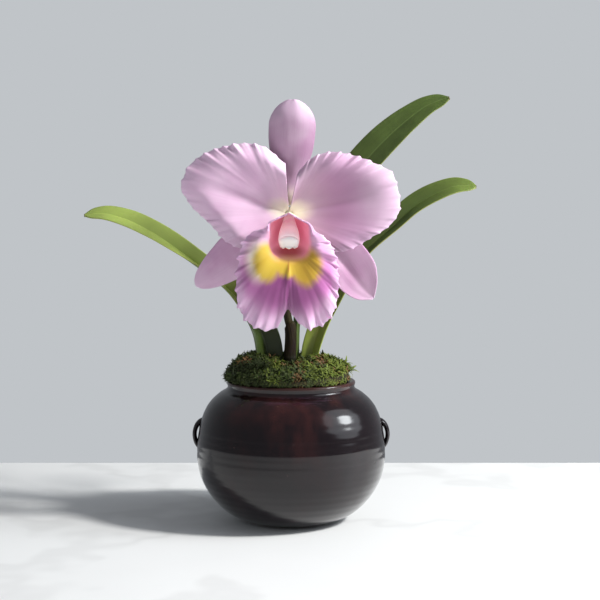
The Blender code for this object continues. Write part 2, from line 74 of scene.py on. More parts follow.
# Jar: half its outline, from the foot up to the rim and into the neck, and its rings as pitch and depth
JAR_SIDES = 144
JAR_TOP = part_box("jar")[1].z
JAR_WALL = 0.0048
JAR_OUTLINE = [
    (0.0262, 0.0000), (0.0280, 0.0002), (0.0292, 0.0006), (0.0342, 0.0018), (0.0418, 0.0052),
    (0.0492, 0.0108), (0.0557, 0.0185), (0.0606, 0.0270), (0.0637, 0.0375), (0.0644, 0.0475),
    (0.0638, 0.0570), (0.0620, 0.0670), (0.0586, 0.0760), (0.0535, 0.0832), (0.0478, 0.0878),
    (0.0450, 0.0894), (0.0436, 0.0908), (0.0433, 0.0922), (0.0438, 0.0938), (0.0439, 0.0949),
    (0.0433, 0.0957), (0.0420, 0.0960), (0.0406, 0.0957), (0.0395, 0.0945), (0.0388, 0.0925),
    (0.0392, 0.0890), (0.0430, 0.0860),
]
JAR_OUTLINE_STEPS = 150
JAR_INSIDE = [(0.0585, 0.0520), (0.0560, 0.0240), (0.0300, JAR_WALL)]
RINGS_END = 0.80
RINGS_TOP = 0.0890
THROWING_RINGS = [(0.0047, 0.00004), (0.0121, 0.00008)]
LUG_MIDDLE = 0.0584
LUG_HALF_HEIGHT = 0.0094
LUG_REACH = 0.0064
LUG_THICKNESS = 0.0022
LUG_SPREAD = 2.0
LUG_ROOT_RADIUS = 0.0598
LUG_PINCH = 0.22
LUG_UNEVENNESS = 0.04

# Moss: the cushion's dome, its mounds as place, half width and height, and its shoots
MOSS_SIDES = 120
MOSS_RINGS = 26
MOSS_RADIUS = 0.0430
MOSS_EDGE = 0.0036
MOSS_HEIGHT = 0.0105
MOSS_LUMP = 0.0042
MOSS_MOUNDS = [(-0.033, 0.013, 0.0040), (0.026, 0.010, 0.0012)]
MOSS_SKIRT = [
    (MOSS_RADIUS + 0.0004, 0.0016), (MOSS_RADIUS - 0.0012, 0.0005), (0.0380, 0.0003), (0.0376, -0.0040)
]
MOSS_FRINGE = 420
MOSS_VALLEY = 0.60
VALLEY_MIDDLE = -0.001
VALLEY_WIDTH = 0.011
VALLEY_LENGTH = 0.016
MOUND_DEPTH = 0.022
MOSS_DRAWN_IN = 0.09
SHOOT_SHAPES = 6
SHOOT_LEAVES = 9
SHOOT_SEED = 31
SHOOT_SIZES = (0.65, 1.35)
SHOOT_SUNK = 0.0005
SHOOT_LOWEST = 0.0018
TALL_SHARE = 0.02
TALL_SIZE = 1.7
RIM_SIZE = 0.65
RIM_HEIGHTS = (0.0008, 0.0026)
BROWN_SPOT = (0.010, -0.018)
BROWN_SPOT_RADIUS = 0.010
STEM_STAND = 0.0052
LEAF_STAND = 0.0050
GOLDEN_ANGLE = pi * (3 - 5**0.5)

# Stem: the dark sheathed foot, the stalk, the ovary and the receptacle
STEM_PATH = [
    (-0.0008, 0.0010, 0.0893), (-0.0008, 0.0005, 0.1120), (-0.0009, 0.0004, 0.1335),
    (-0.0019, 0.0008, 0.1372), (-0.0022, 0.0030, 0.1600), (-0.0020, 0.0075, 0.1800),
    (-0.0015, 0.0085, 0.1950), (-0.0012, 0.0040, 0.2050), (-0.0012, -0.0045, 0.2090),
    (-0.0012, -0.0138, 0.2090),
]
STEM_RADII = [
    (0.0, 0.0046), (0.10, 0.0043), (0.148, 0.0042), (0.160, 0.0045), (0.172, 0.0041), (0.27, 0.0040),
    (0.318, 0.0040), (0.334, 0.0028), (0.60, 0.0026), (0.70, 0.0030), (0.82, 0.0037), (0.90, 0.0039),
    (0.94, RECEPTACLE_RADIUS), (0.97, 0.0044), (0.99, 0.0030), (1.0, 0.0008),
]
SHEATH_END = 0.32
SHEATH_SLANT = 0.012
OVARY = (0.66, 0.92)
OVARY_RIBS = 6
OVARY_RIB_DEPTH = 0.07
STEM_ROWS = 220
STEM_SIDES = 36

# Leaves: a spine, half widths along it, the ways it faces, how far its halves fold in degrees, its colours,
# with a foot colour that paints the light and shade at its foot
LEAVES = {
    "leaf_left": {
        "spine": [
            (-0.0162, 0.0060, 0.0898), (-0.0168, 0.0062, 0.1120), (-0.0195, 0.0075, 0.1240),
            (-0.0326, 0.0140, 0.1442), (-0.0481, 0.0185, 0.1599), (-0.0671, 0.0215, 0.1743),
            (-0.0998, 0.0225, 0.1969), (-0.1156, 0.0220, 0.2046), (-0.1301, 0.0215, 0.2086),
            (-0.1438, 0.0210, 0.2080),
        ],
        "widths": [
            (0, 0.0045), (0.08, 0.0105), (0.2, 0.0120), (0.45, 0.0106), (0.7, 0.0098), (0.86, 0.0088),
            (0.94, 0.0066), (0.98, 0.0040), (1, 0.0008),
        ],
        "faces": [(0.35, -0.85, 0.20), (0.30, -0.66, 0.66), (0.22, -0.72, 0.66)],
        "fold": [(0, 40), (0.08, 30), (0.25, 40), (0.5, 50), (0.7, 32), (1, 14)],
        "paint": "leaf",
        # Painted shadow: the bloom's shadow on this leaf's foot
        "foot": linear(9, 31, 2),
        "dark": 0.30,
    },
    "leaf_right_lower": {
        "spine": [
            (0.0142, 0.0065, 0.0898), (0.0148, 0.0067, 0.1120), (0.0192, 0.0085, 0.1279),
            (0.0317, 0.0150, 0.1510), (0.0499, 0.0200, 0.1799), (0.0735, 0.0215, 0.2021),
            (0.0853, 0.0215, 0.2132), (0.1005, 0.0210, 0.2225), (0.1149, 0.0205, 0.2278),
            (0.1284, 0.0200, 0.2280),
        ],
        "widths": [
            (0, 0.0040), (0.08, 0.0075), (0.2, 0.0084), (0.5, 0.0090), (0.72, 0.0092), (0.88, 0.0082),
            (0.95, 0.0062), (0.985, 0.0036), (1, 0.0008),
        ],
        "faces": [(-0.45, -0.85, 0.15), (-0.45, -0.70, 0.45), (-0.25, -0.72, 0.55)],
        "fold": [(0, 48), (0.2, 30), (0.5, 34), (1, 18)],
        # Painted shade: this leaf takes the darker green and stronger dark mottles
        "paint": "leaf_dark",
        # Painted light: this leaf's foot, painted paler where lit
        "foot": linear(146, 162, 72),
        "dark": 0.75,
    },
    "leaf_right_upper": {
        "spine": [
            (0.0047, 0.0092, 0.0898), (0.0048, 0.0096, 0.1160), (0.0054, 0.0110, 0.1340),
            (0.0082, 0.0135, 0.1553), (0.0151, 0.0165, 0.1787), (0.0262, 0.0185, 0.2049),
            (0.0396, 0.0200, 0.2290), (0.0680, 0.0200, 0.2627), (0.0824, 0.0200, 0.2752),
            (0.0956, 0.0195, 0.2842), (0.1092, 0.0190, 0.2888),
        ],
        "widths": [
            (0, 0.0030), (0.1, 0.0032), (0.22, 0.0050), (0.4, 0.0098), (0.6, 0.0128), (0.75, 0.0124),
            (0.87, 0.0098), (0.94, 0.0070), (0.98, 0.0042), (1, 0.0008),
        ],
        "faces": [(-0.90, -0.40, 0.05), (-0.60, -0.78, 0.10), (-0.30, -0.92, 0.22)],
        "fold": [(0, 62), (0.22, 48), (0.45, 22), (1, 14)],
        # Painted shade: this leaf takes the darker green and stronger dark mottles
        "paint": "leaf_dark",
        # Painted shade: this leaf's foot, painted darker
        "foot": linear(76, 94, 40),
        "dark": 0.90,
    },
}
LEAF_ROWS = 84
LEAF_COLUMNS = 14
LEAF_EDGE_SHARE = 0.42
LEAF_SWAY = 0.0006
LEAF_BACK_LIGHT = 0.62

# Sepals: a spine and half widths, how far they cup and keel, how much painted shade dims them and where
# their pale edge starts, and how they lean
SEPAL_ROOT = RECEPTACLE_RADIUS + 3 * ROOT_CLEARANCE
SEPALS = {
    "dorsal_sepal": {
        "spine": [
            (-0.0012, -0.0100, BLOOM[2] + SEPAL_ROOT), (-0.0006, -0.0082, 0.2330),
            (0.0004, -0.0138, 0.2580), (0.0012, -0.0170, 0.2740), (0.0016, -0.0150, 0.2850),
        ],
        "widths": [
            (0, 0.0040), (0.2, 0.0074), (0.35, 0.0112), (0.467, 0.0140), (0.6, 0.0155),
            (0.743, 0.0158), (0.82, 0.0150), (0.89, 0.0134), (0.945, 0.0106), (0.98, 0.0070),
            (1, 0.0034),
        ],
        "cup": -0.40,
        "keel": 0.0002,
        # Painted shade dims this sepal's colours
        "shade_tint": 0.64,
        # Painted light: the pale edge starts halfway, so the sepal's top is painted paler as if lit
        "pale_from": 0.50,
    },
    "lateral_sepal_left": {
        "spine": [
            (-0.0054, -0.0100, 0.2063), (-0.0220, -0.0060, 0.1938), (-0.0380, -0.0020, 0.1810),
            (-0.0530, 0.0000, 0.1695), (-0.0650, 0.0000, 0.1604),
        ],
        "widths": [
            (0, 0.0024), (0.25, 0.0100), (0.42, 0.0148), (0.55, 0.0154), (0.68, 0.0136), (0.8, 0.0112),
            (0.88, 0.0088), (0.94, 0.0062), (0.98, 0.0034), (1, 0.0008),
        ],
        "cup": -0.14,
        "keel": 0.0004,
        "shade_tint": 1.0,
        "pale_from": 0.90,
    },
    "lateral_sepal_right": {
        "spine": [
            (0.0030, -0.0100, 0.2063), (0.0205, -0.0060, 0.1935), (0.0350, -0.0020, 0.1765),
            (0.0480, 0.0000, 0.1595), (0.0560, 0.0000, 0.1515),
        ],
        "widths": [
            (0, 0.0024), (0.25, 0.0090), (0.5, 0.0148), (0.66, 0.0154), (0.82, 0.0132), (0.93, 0.0080),
            (1, 0.0010),
        ],
        "cup": 0.16,
        "keel": 0.0018,
        # Painted shade dims this sepal's colours
        "shade_tint": 0.86,
        "pale_from": 0.90,
        "lean": -0.18,
    },
}
SEPAL_ROWS = 48
SEPAL_COLUMNS = 16
SEPAL_EDGE_ROLL = 0.0009
SEPAL_UNEVENNESS = 0.0004
KEEL_WIDTH = 0.16
TIP_CROWDING = 1.45

# Petals: rays from the receptacle, as an angle in degrees from +X towards +Z and how far the ray reaches.
# "axis" is the angle of a petal's middle, where a groove runs. At angles round the edge, "folds" gives the
# distance between folds and "pleats" their height. "bow" is how far the petal stands forward along a ray.
# "swells" are low rises, each with an angle, a place on its ray and a height.
PETAL_ROOT = 0.0026
PETALS = {
    "petal_left": {
        "outline": [
            (94, 0.0330), (100, 0.0372), (108, 0.0455), (119, 0.0537), (131, 0.0605), (146, 0.0702),
            (156, 0.0745), (165, 0.0748), (173, 0.0678), (186, 0.0540), (204, 0.0452), (215, 0.0392),
            (224, 0.0300),
        ],
        "axis": 162,
        "shade_tint": 1.0,
        "folds": [
            (94, 0.0100), (112, 0.0074), (140, 0.0068), (158, 0.0090), (175, 0.0064), (200, 0.0060),
            (224, 0.0085),
        ],
        "pleats": [
            (94, 0.3), (108, 0.6), (120, 1.3), (138, 1.5), (152, 0.9), (166, 0.5), (185, 0.75),
            (205, 0.9), (224, 0.3),
        ],
        "bow": [(0, 0), (0.3, 0.0036), (0.72, 0.0064), (0.9, 0.0026), (1, -0.0024)],
        "cup": 0.0034,
        "swells": [(118, 0.80, 0.0020), (205, 0.80, 0.0014)],
        "seed": 2.1,
    },
    "petal_right": {
        "outline": [
            (-48, 0.0300), (-38, 0.0405), (-27, 0.0488), (-17, 0.0556), (-4, 0.0695), (5, 0.0742),
            (20, 0.0740), (32, 0.0650), (47, 0.0548), (58, 0.0480), (68, 0.0395), (78, 0.0270),
        ],
        "axis": 12,
        # Painted shade dims this petal's colours
        "shade_tint": 0.72,
        "folds": [(-48, 0.0085), (-25, 0.0066), (0, 0.0078), (22, 0.0086), (45, 0.0066), (78, 0.0090)],
        "pleats": [
            (-48, 0.3), (-32, 0.9), (-15, 0.7), (0, 0.35), (14, 0.7), (28, 0.9), (42, 1.4), (60, 0.8),
            (78, 0.3),
        ],
        "bow": [
            (0, 0), (0.15, 0.0006), (0.38, 0.0040), (0.60, 0.0074), (0.76, 0.0080), (0.90, 0.0066),
            (1, 0.0034),
        ],
        "cup": 0.0034,
        "swells": [(46, 0.85, 0.0030), (40, 0.45, -0.0016)],
        "seed": 7.4,
    },
}
PETAL_RAYS = 168
PETAL_ROWS = 26
PETAL_TROUGH = 0.45
PETAL_GROOVE = 0.0016
PETAL_GROOVE_WIDTH = 0.10
PETAL_ROLL = 0.0022
PETAL_FADE = 0.0054
PETAL_SCALLOP = 0.0011
PETAL_NICKS = 0.0005
SWELL_SPREAD = 26
SWELL_DEPTH = 0.30

# Lip: a tube round the column that opens into a frilled skirt. Angles turn from straight down towards +X.
LIP_MOUTH = np.array((-0.0010, -0.0400, 0.1905))
LIP_ROOT_RADIUS = 0.0032
LIP_ROOT_DROP = 0.0020
LIP_SEAM = 180
LIP_MOUTH_RADII = [
    (-LIP_SEAM, 0.0188), (-170, 0.0176), (-150, 0.0171), (-138, 0.0177), (-118, 0.0142), (-98, 0.0134),
    (-55, 0.0140), (0, 0.0130), (59, 0.0142), (98, 0.0136), (118, 0.0152), (132, 0.0172),
    (150, 0.0164), (170, 0.0173), (LIP_SEAM, 0.0188),
]
LIP_OUTLINE = [
    (-LIP_SEAM, 0.0195), (-170, 0.0184), (-150, 0.0180), (-139, 0.0188), (-124, 0.0178),
    (-114, 0.0212), (-104, 0.0262), (-90, 0.0305), (-70, 0.0358), (-55, 0.0424), (-45, 0.0488),
    (-36, 0.0553), (-27, 0.0592), (-17, 0.0600), (-8, 0.0560), (-1, 0.0438), (6, 0.0520), (14, 0.0585),
    (24, 0.0582), (36, 0.0520), (46, 0.0450), (56, 0.0392), (72, 0.0325), (88, 0.0276), (102, 0.0226),
    (116, 0.0184), (132, 0.0184), (150, 0.0173), (170, 0.0182), (LIP_SEAM, 0.0195),
]
LIP_FOLDS = [
    (-LIP_SEAM, 0.0080), (-100, 0.0100), (-55, 0.0108), (-15, 0.0084), (20, 0.0082), (60, 0.0062),
    (110, 0.0056), (LIP_SEAM, 0.0070),
]
LIP_RAYS = 320
LIP_ROWS = 30
LIP_TUBE_SHARE = 0.42
LIP_SKIRT_FORWARD = 0.0055
LIP_SKIRT_BACK = 0.0075
LIP_FULL_SKIRT = 0.020
LIP_CREST = 0.0005
LIP_FADE = 0.0050
LIP_POINTS = 0.0022
LIP_TEETH = 0.0005
LIP_SEED = 3.3
# Painted light: how brightly the throat glows
THROAT_GLOW = 0.09

# Where colours lie on the bloom's face: ovals in the XZ plane, as a centre and two radii
PETAL_FLUSH = (0.0330, 0.1960), (0.0200, 0.0150)
# Painted shade: the hollow in the right petal, darkened in its colour
PETAL_HOLLOW_SHADE = (0.0330, 0.2270), (0.0150, 0.0190)
# Painted shadow of the tube on the lip's middle
LIP_SHADOW_FAN = (0.0008, 0.1605), (0.0185, 0.0170)
LEFT_EYE = (-0.0156, 0.1780), (0.0088, 0.0126)
RIGHT_EYE = (0.0104, 0.1754), (0.0098, 0.0124)
EYE_BRIDGE = (-0.0010, 0.1765), (0.0125, 0.0080)
EYE_HALO = (-0.0215, 0.1785), (0.0070, 0.0115)
THROAT = (-0.0004, 0.1935), (0.0132, 0.0142)
# Brick red under the column, also painted shade there
THROAT_DEEP = (-0.0010, 0.1846), (0.0092, 0.0038)
LIP_MIDDLE = -0.0014
SIDE_LINE = 0.0030

# Where a colour comes in, as a place along Z where it has none of its strength and one where it has all
LIP_SIDES = 0.1700, 0.1960
LIP_LOBES = 0.1640, 0.1520
LINES_START = 0.1500, 0.1560
LINES_END = 0.1790, 0.1730
SEAM_START = 0.1700, 0.1740
THROAT_BRINK = 0.1840, 0.1775
SHEATH_TOP = 0.1340, 0.1356
STEM_FOOT = 0.1180, 0.1060
BARE_CLAY = 0.0011, 0.0004
THIN_GLAZE = 0.030, 0.082
JAR_RIM = 0.0952

# The same along X for the eye's yellow, deepened as painted shade towards the right, and along Y for the
# throat's inside, darkened as painted shade, and the column's tip
EYE_SHADE = -0.002, 0.010
THROAT_INSIDE_SHADE = -0.034, -0.018
COLUMN_PALER = -0.0240, -0.0340

# Column and the cap on its tip
COLUMN_ROOT = np.array((-0.0012, RECEPTACLE_FRONT - ROOT_CLEARANCE, 0.2074))
COLUMN_TIP = np.array((-0.0011, -0.0362, 0.1916))
COLUMN_WIDTHS = [(0, 0.0030), (0.3, 0.0044), (0.7, 0.0064), (0.92, 0.0069), (1, 0.0068)]
COLUMN_DEPTHS = [(0, 0.0024), (0.5, 0.0036), (0.92, 0.0052), (1, 0.0048)]
COLUMN_ARCH = np.array((0, 0, 0.0008))
COLUMN_HOLLOW = 0.0050
COLUMN_TOOTH = 0.0007
COLUMN_TEETH = 14
COLUMN_ROWS = 24
COLUMN_SIDES = 48
CAP_LENGTH = 0.0028
CAP_FIT = 0.97
CAP_TAPER = 0.34
CAP_TOOTH = 0.0009
CAP_TEETH = 5
CAP_ROWS = 12

# Stage. Each light has its place, its aim, its size, its power in watts and its colour.
FLOOR_SIZE = (2.4, 1.6)
FLOOR_BACK = 0.20
FLOOR_THICKNESS = 0.03
FLOOR_BEVEL = 0.003
CAMERA_PLACE = (0.0061, -0.884, 0.2109)
CAMERA_PITCH = -3.9
CAMERA_LENS = 78
LIGHTS = {
    "key": ((1.35, -0.47, 1.26), (0, 0, 0.15), 0.24, 42, (1.0, 0.985, 0.955)),
    "window": ((1.25, -0.17, 0.83), (0, 0, 0.07), 0.44, 8.0, (0.93, 0.97, 1.0)),
    "glow": ((1.30, -0.27, 0.86), (0, 0, 0.07), 1.45, 8.5, (0.88, 0.93, 1.0)),
    "fill": ((-1.1, -1.1, 0.6), (0, 0, 0.15), 1.2, 2.5, (0.90, 0.95, 1.0)),
}
SEEN_IN_GLAZE = ("window", "glow")
BACKDROP = linear(192, 196, 200)
ROOM_LIGHT = (0.20, 0.21, 0.225)
ROOM_STRENGTH = 1.0


def length_property(name, description, default):
    return bpy.props.FloatProperty(name=name, description=description, default=default, unit="LENGTH")


def colour_property(name, description, default):
    return bpy.props.FloatVectorProperty(
        name=name, description=description, default=default, subtype="COLOR", size=3, min=0, max=1
    )


class PlantSizes(bpy.types.PropertyGroup):
    petal_thickness: length_property("Petal thickness", "Thickness of the petals and sepals", 0.0007)
    petal_ruffle: length_property("Petal ruffle", "Height of the folds along the petals' edges", 0.0013)
    lip_thickness: length_property("Lip thickness", "Thickness of the lip", 0.0006)
    lip_ruffle: length_property("Lip ruffle", "Height of the folds along the lip's skirt", 0.0026)
    leaf_thickness: length_property("Leaf thickness", "Thickness of a leaf at its midrib", 0.0021)
    moss_shoots: bpy.props.IntProperty(
        name="Moss shoots", description="How many shoots grow from the moss cushion", default=2300, min=0
    )
    shoot_length: length_property("Shoot length", "Length of a leaf of the moss", 0.0047)


class PlantColours(bpy.types.PropertyGroup):
    petal: colour_property("Petal", "Pale lilac of the petals and sepals", linear(232, 197, 223))
    # Also painted as shade in the right petal's hollow
    petal_deep: colour_property("Petal shade", "Pink-lilac of veins and hollows", linear(206, 150, 192))
    petal_heart: colour_property("Petal heart", "Cream of the petals' roots", linear(255, 247, 216))
    lip: colour_property("Lip", "Mauve of the lip's front lobe", linear(184, 108, 168))
    lip_vein: colour_property("Lip vein", "Purple of the lip's veins and middle line", linear(134, 64, 120))
    lip_edge: colour_property("Lip edge", "Pale pink of the frill", linear(243, 212, 238))
    lip_eye: colour_property("Lip eye", "Yellow of the two lobes", linear(208, 177, 66))
    # Painted light: lighter than the tissue, as if lit through the tube
    lip_throat: colour_property("Throat", "Crimson of the tube's inside", linear(236, 156, 176))
    # Also used as painted shade under the column
    lip_deep: colour_property("Deep throat", "Brick red under the column", linear(150, 44, 32))
    column: colour_property("Column", "Pink of the column", linear(238, 216, 218))
    cap: colour_property("Cap", "White of the anther cap", linear(255, 250, 248))
    leaf: colour_property("Leaf", "Yellow-green of the left leaf", linear(160, 178, 90))
    # Painted shade: the right leaves' green, darker because they stand in shade
    leaf_dark: colour_property("Dark leaf", "Deep green of the right leaves", linear(92, 112, 52))
    # Partly painted shade: darker than the sheath's brown, for the bloom's shade over the stem
    stem: colour_property("Stem", "Dark brown of the stem's sheath", linear(22, 15, 8))
    moss: colour_property("Moss", "Dark green of the moss", linear(46, 58, 24))
    moss_tip: colour_property("Moss tip", "Bright green of the shoots' tips", linear(106, 118, 44))
    glaze: colour_property("Glaze", "Black-brown of the jar's glaze", linear(16, 8, 12))
    glaze_thin: colour_property("Thin glaze", "Red-brown where the glaze runs thin", linear(64, 30, 28))


class Value:
    """A shader socket that takes part in sums. Each operation adds a Math node."""

    def __init__(self, shader, socket):
        self.shader = shader
        self.socket = socket

    def math(self, operation, *values):
        return self.shader.node("ShaderNodeMath", {"operation": operation}, dict(enumerate(values)))

    def __add__(self, other):
        return self.math("ADD", self, other)

    def __radd__(self, other):
        return self.math("ADD", other, self)

    def __sub__(self, other):
        return self.math("SUBTRACT", self, other)

    def __rsub__(self, other):
        return self.math("SUBTRACT", other, self)

    def __mul__(self, other):
        return self.math("MULTIPLY", self, other)

    def __rmul__(self, other):
        return self.math("MULTIPLY", other, self)

    def __truediv__(self, other):
        return self.math("DIVIDE", self, other)

    def __pow__(self, other):
        return self.math("POWER", self, other)

    def __abs__(self):
        return self.math("ABSOLUTE", self)

    def most(self, other):
        return self.math("MAXIMUM", self, other)


class Shader:
    """The node tree of one material."""

    def __init__(self, name):
        self.material = bpy.data.materials.new(name)
        self.material.use_nodes = True
        self.tree = self.material.node_tree
        self.principled = self.tree.nodes["Principled BSDF"]

    def node(self, kind, settings=None, inputs=None, output=0):
        """Adds a node: first its settings, then its sockets' values or links."""
        node = self.tree.nodes.new(kind)
        for key, value in (settings or {}).items():
            setattr(node, key, value)
        for key, value in (inputs or {}).items():
            self.feed(node.inputs[key], value)
        return Value(self, node.outputs[output])

    def feed(self, socket, value):
        if isinstance(value, Value):
            self.tree.links.new(value.socket, socket)
        elif socket.type == "RGBA" and len(value) == 3:
            socket.default_value = (*value, 1)
        else:
            socket.default_value = value

    def finish(self, **sockets):
        """Sets or links the Principled shader's sockets, named with _ for a space."""
        for name, value in sockets.items():
            self.feed(self.principled.inputs[name.replace("_", " ")], value)
        return self.material

    def place(self):
        return self.node("ShaderNodeTexCoord", output="Object")

    def surface(self):
        return self.node("ShaderNodeTexCoord", output="UV")

    def axis(self, vector, name):
        return self.node("ShaderNodeSeparateXYZ", inputs={0: vector}, output=name)

    def scaled(self, vector, scale):
        return self.node("ShaderNodeMapping", inputs={"Vector": vector, "Scale": scale})

    def noise(self, vector, scale, detail=2.0, roughness=0.5):
        inputs = {"Vector": vector, "Scale": scale, "Detail": detail, "Roughness": roughness}
        return self.node("ShaderNodeTexNoise", inputs=inputs)

    def fibres(self, across, out, detail=3, roughness=0.6):
        """Noise drawn out into lines, from coordinates across and along a sheet that are already scaled."""
        vector = self.node("ShaderNodeCombineXYZ", inputs={0: across, 1: out})
        return self.noise(vector, 1.0, detail, roughness)

    def cells(self, vector, scale, output="Distance"):
        return self.node("ShaderNodeTexVoronoi", inputs={"Vector": vector, "Scale": scale}, output=output)

    def ramp(self, value, low, high):
        """A smooth rise from 0 at low to 1 at high, or a fall where low is the larger."""
        inputs = {"Value": value, "From Min": low, "From Max": high}
        return self.node("ShaderNodeMapRange", {"interpolation_type": "SMOOTHSTEP"}, inputs)

    def mix(self, factor, first, second):
        return self.node("ShaderNodeMix", {"data_type": "RGBA"}, {0: factor, 6: first, 7: second}, output=2)

    def oval(self, x, z, centre, radii, soft, power=2):
        """1 inside an oval in the XZ plane, squarer at a higher power, with a soft fall to 0 round it."""
        dx, dz = abs((x - centre[0]) / radii[0]), abs((z - centre[1]) / radii[1])
        return self.ramp((dx**power + dz**power) ** (1 / power), 1 + soft, 1 - soft)

    def bump(self, height, distance, strength):
        inputs = {"Height": height, "Distance": distance, "Strength": strength}
        return self.node("ShaderNodeBump", inputs=inputs)


def sizes():
    return bpy.context.scene.cattleya_sizes


def paint(name, share=1.0):
    """One of the plant's colours, with a share of its strength."""
    return tuple(channel * share for channel in getattr(bpy.context.scene.cattleya_colours, name))


def sheer(weight, radius, scale):
    """The sockets of tissue that light sinks into."""
    return {"Subsurface_Weight": weight, "Subsurface_Radius": radius, "Subsurface_Scale": scale}


def petal_material(name, deep_share, back=False, shade_tint=1.0, pale_from=0.90):
    """Pale lilac tissue with fine veins that fan from a cream root; the back shows more of them. The right
    petal's hollow is painted shade, and a piece in shade has its colours dimmed as painted shade.
    """
    s = Shader(name)
    uv, place = s.surface(), s.place()
    across, out = s.axis(uv, "X"), s.axis(uv, "Y")
    x, z = s.axis(place, "X"), s.axis(place, "Z")
    wander = s.noise(place, 90, 2) - 0.5
    lines = s.fibres(across * 74 + wander * 1.6, out * 2.2)
    fine = s.fibres(across * 230 + wander * 2.5, out * 5.0, 2)
    vein = s.ramp(lines, 0.52, 0.66) * 0.65 + s.ramp(fine, 0.50, 0.72) * 0.35
    cloud = s.ramp(s.noise(place, 34, 3, 0.55), 0.36, 0.68)
    depth = s.ramp(out, 0.02, 0.30) * s.ramp(out, 1.02, 0.55)
    shade = (vein * (0.45 if back else 0.20) + cloud * 0.35) * (depth * 0.75 + 0.25) * deep_share
    # A tint below 1 dims the colours as painted shade
    tissue = s.mix(shade, paint("petal", shade_tint), paint("petal_deep", shade_tint))
    # The tissue's pale edge; where it starts low it also paints the top paler as if lit
    edge = s.ramp(out + wander * 0.05, pale_from, 1.0)
    tissue = s.mix(edge * 0.50, tissue, paint("lip_edge"))
    # The flush is a deeper pink of the tissue; the hollow is painted shade
    flush, hollow = s.oval(x, z, *PETAL_FLUSH, 0.7), s.oval(x, z, *PETAL_HOLLOW_SHADE, 0.8)
    tissue = s.mix(flush * 0.62 + hollow * 0.80, tissue, paint("petal_deep", shade_tint))
    heart = s.ramp(out + wander * 0.06, 0.17, 0.02)
    relief = (lines * 0.5 + fine * 0.3) * s.ramp(out, 0.15, 0.6) + s.noise(place, 1500, 1) * 0.25
    return s.finish(
        Base_Color=s.mix(heart * 0.70, tissue, paint("petal_heart")),
        Roughness=0.44 + s.noise(place, 420, 2) * 0.16,
        Normal=s.bump(relief, 0.00018, 0.14),
        **sheer(0.14, (1.0, 0.62, 0.90), 0.0016),
    )


def lip_skirt(s, place, out, lines, wander, streak_share):
    """Mauve with streaks and clouds, paler up its sides, at its lobes' ends and along its frill."""
    z = s.axis(place, "Z")
    streak = s.ramp(lines, 0.50, 0.70) * s.ramp(out, 1.0, 0.55) * streak_share
    colour = s.mix(streak, paint("lip"), paint("lip_vein"))
    cloud = s.ramp(s.noise(place, 60, 2), 0.40, 0.70)
    colour = s.mix(cloud * 0.22, colour, paint("petal_deep"))
    colour = s.mix(s.ramp(z, *LIP_SIDES) * 0.62, colour, paint("petal"))
    lobe = s.ramp(z, *LIP_LOBES) * s.ramp(out, 0.76, 0.94)
    colour = s.mix(lobe * 0.60, colour, paint("petal"))
    frill = s.ramp(out + (lines - 0.5) * 0.14 + wander * 0.05, 0.85, 1.0)
    return s.mix(frill * 0.50, colour, paint("lip_edge"))


def lip_lines(s, x, z, colour, fade):
    """A dark fan under the yellow, painted shadow of the tube, with a middle line and a thinner one on each
    side of it.
    """
    aside = abs(x - LIP_MIDDLE)
    line = s.ramp(aside, 0.0018, 0.0006) + s.ramp(abs(aside - SIDE_LINE), 0.0008, 0.0002) * 0.5
    line = line * s.ramp(z, *LINES_START) * s.ramp(z, *LINES_END)
    # Painted shadow: the tube's shadow as a dark fan
    colour = s.mix(s.oval(x, z, *LIP_SHADOW_FAN, 0.5) * (0.80 * fade), colour, paint("lip_vein"))
    return s.mix(line * (0.9 * fade), colour, paint("lip_vein"))


def lip_eye(s, x, z, colour, yellow, rays, fade):
    """Two rayed yellow lobes and the bridge between them, a cream halo at the left and a dark seam."""
    halo = s.oval(x, z, *EYE_HALO, 0.6)
    colour = s.mix(halo * (0.75 * fade), colour, paint("petal_heart"))
    left = s.oval(x + rays, z + rays, *LEFT_EYE, 0.30)
    right = s.oval(x - rays, z + rays, *RIGHT_EYE, 0.30)
    bridge = s.oval(x, z + rays, *EYE_BRIDGE, 0.30)
    colour = s.mix(left.most(right).most(bridge) * fade, colour, yellow)
    seam = s.ramp(abs(x - LIP_MIDDLE), 0.0009, 0.0002) * s.ramp(z, *SEAM_START)
    return s.mix(seam * (0.5 * fade), colour, paint("lip_deep"))


def lip_throat(s, x, y, z, yellow):
    """Crimson that turns brick red under the column, partly as painted shade, darkens far inside as painted
    shade, and turns yellow at the throat's lower lip.
    """
    deep = s.oval(x, z, *THROAT_DEEP, 0.6)
    # Painted shade: darker under the column and far inside
    red = s.mix(deep * 0.80 + s.ramp(y, *THROAT_INSIDE_SHADE) * 0.15, paint("lip_throat"), paint("lip_deep"))
    return s.mix(s.ramp(z, *THROAT_BRINK) * 0.80, red, yellow)


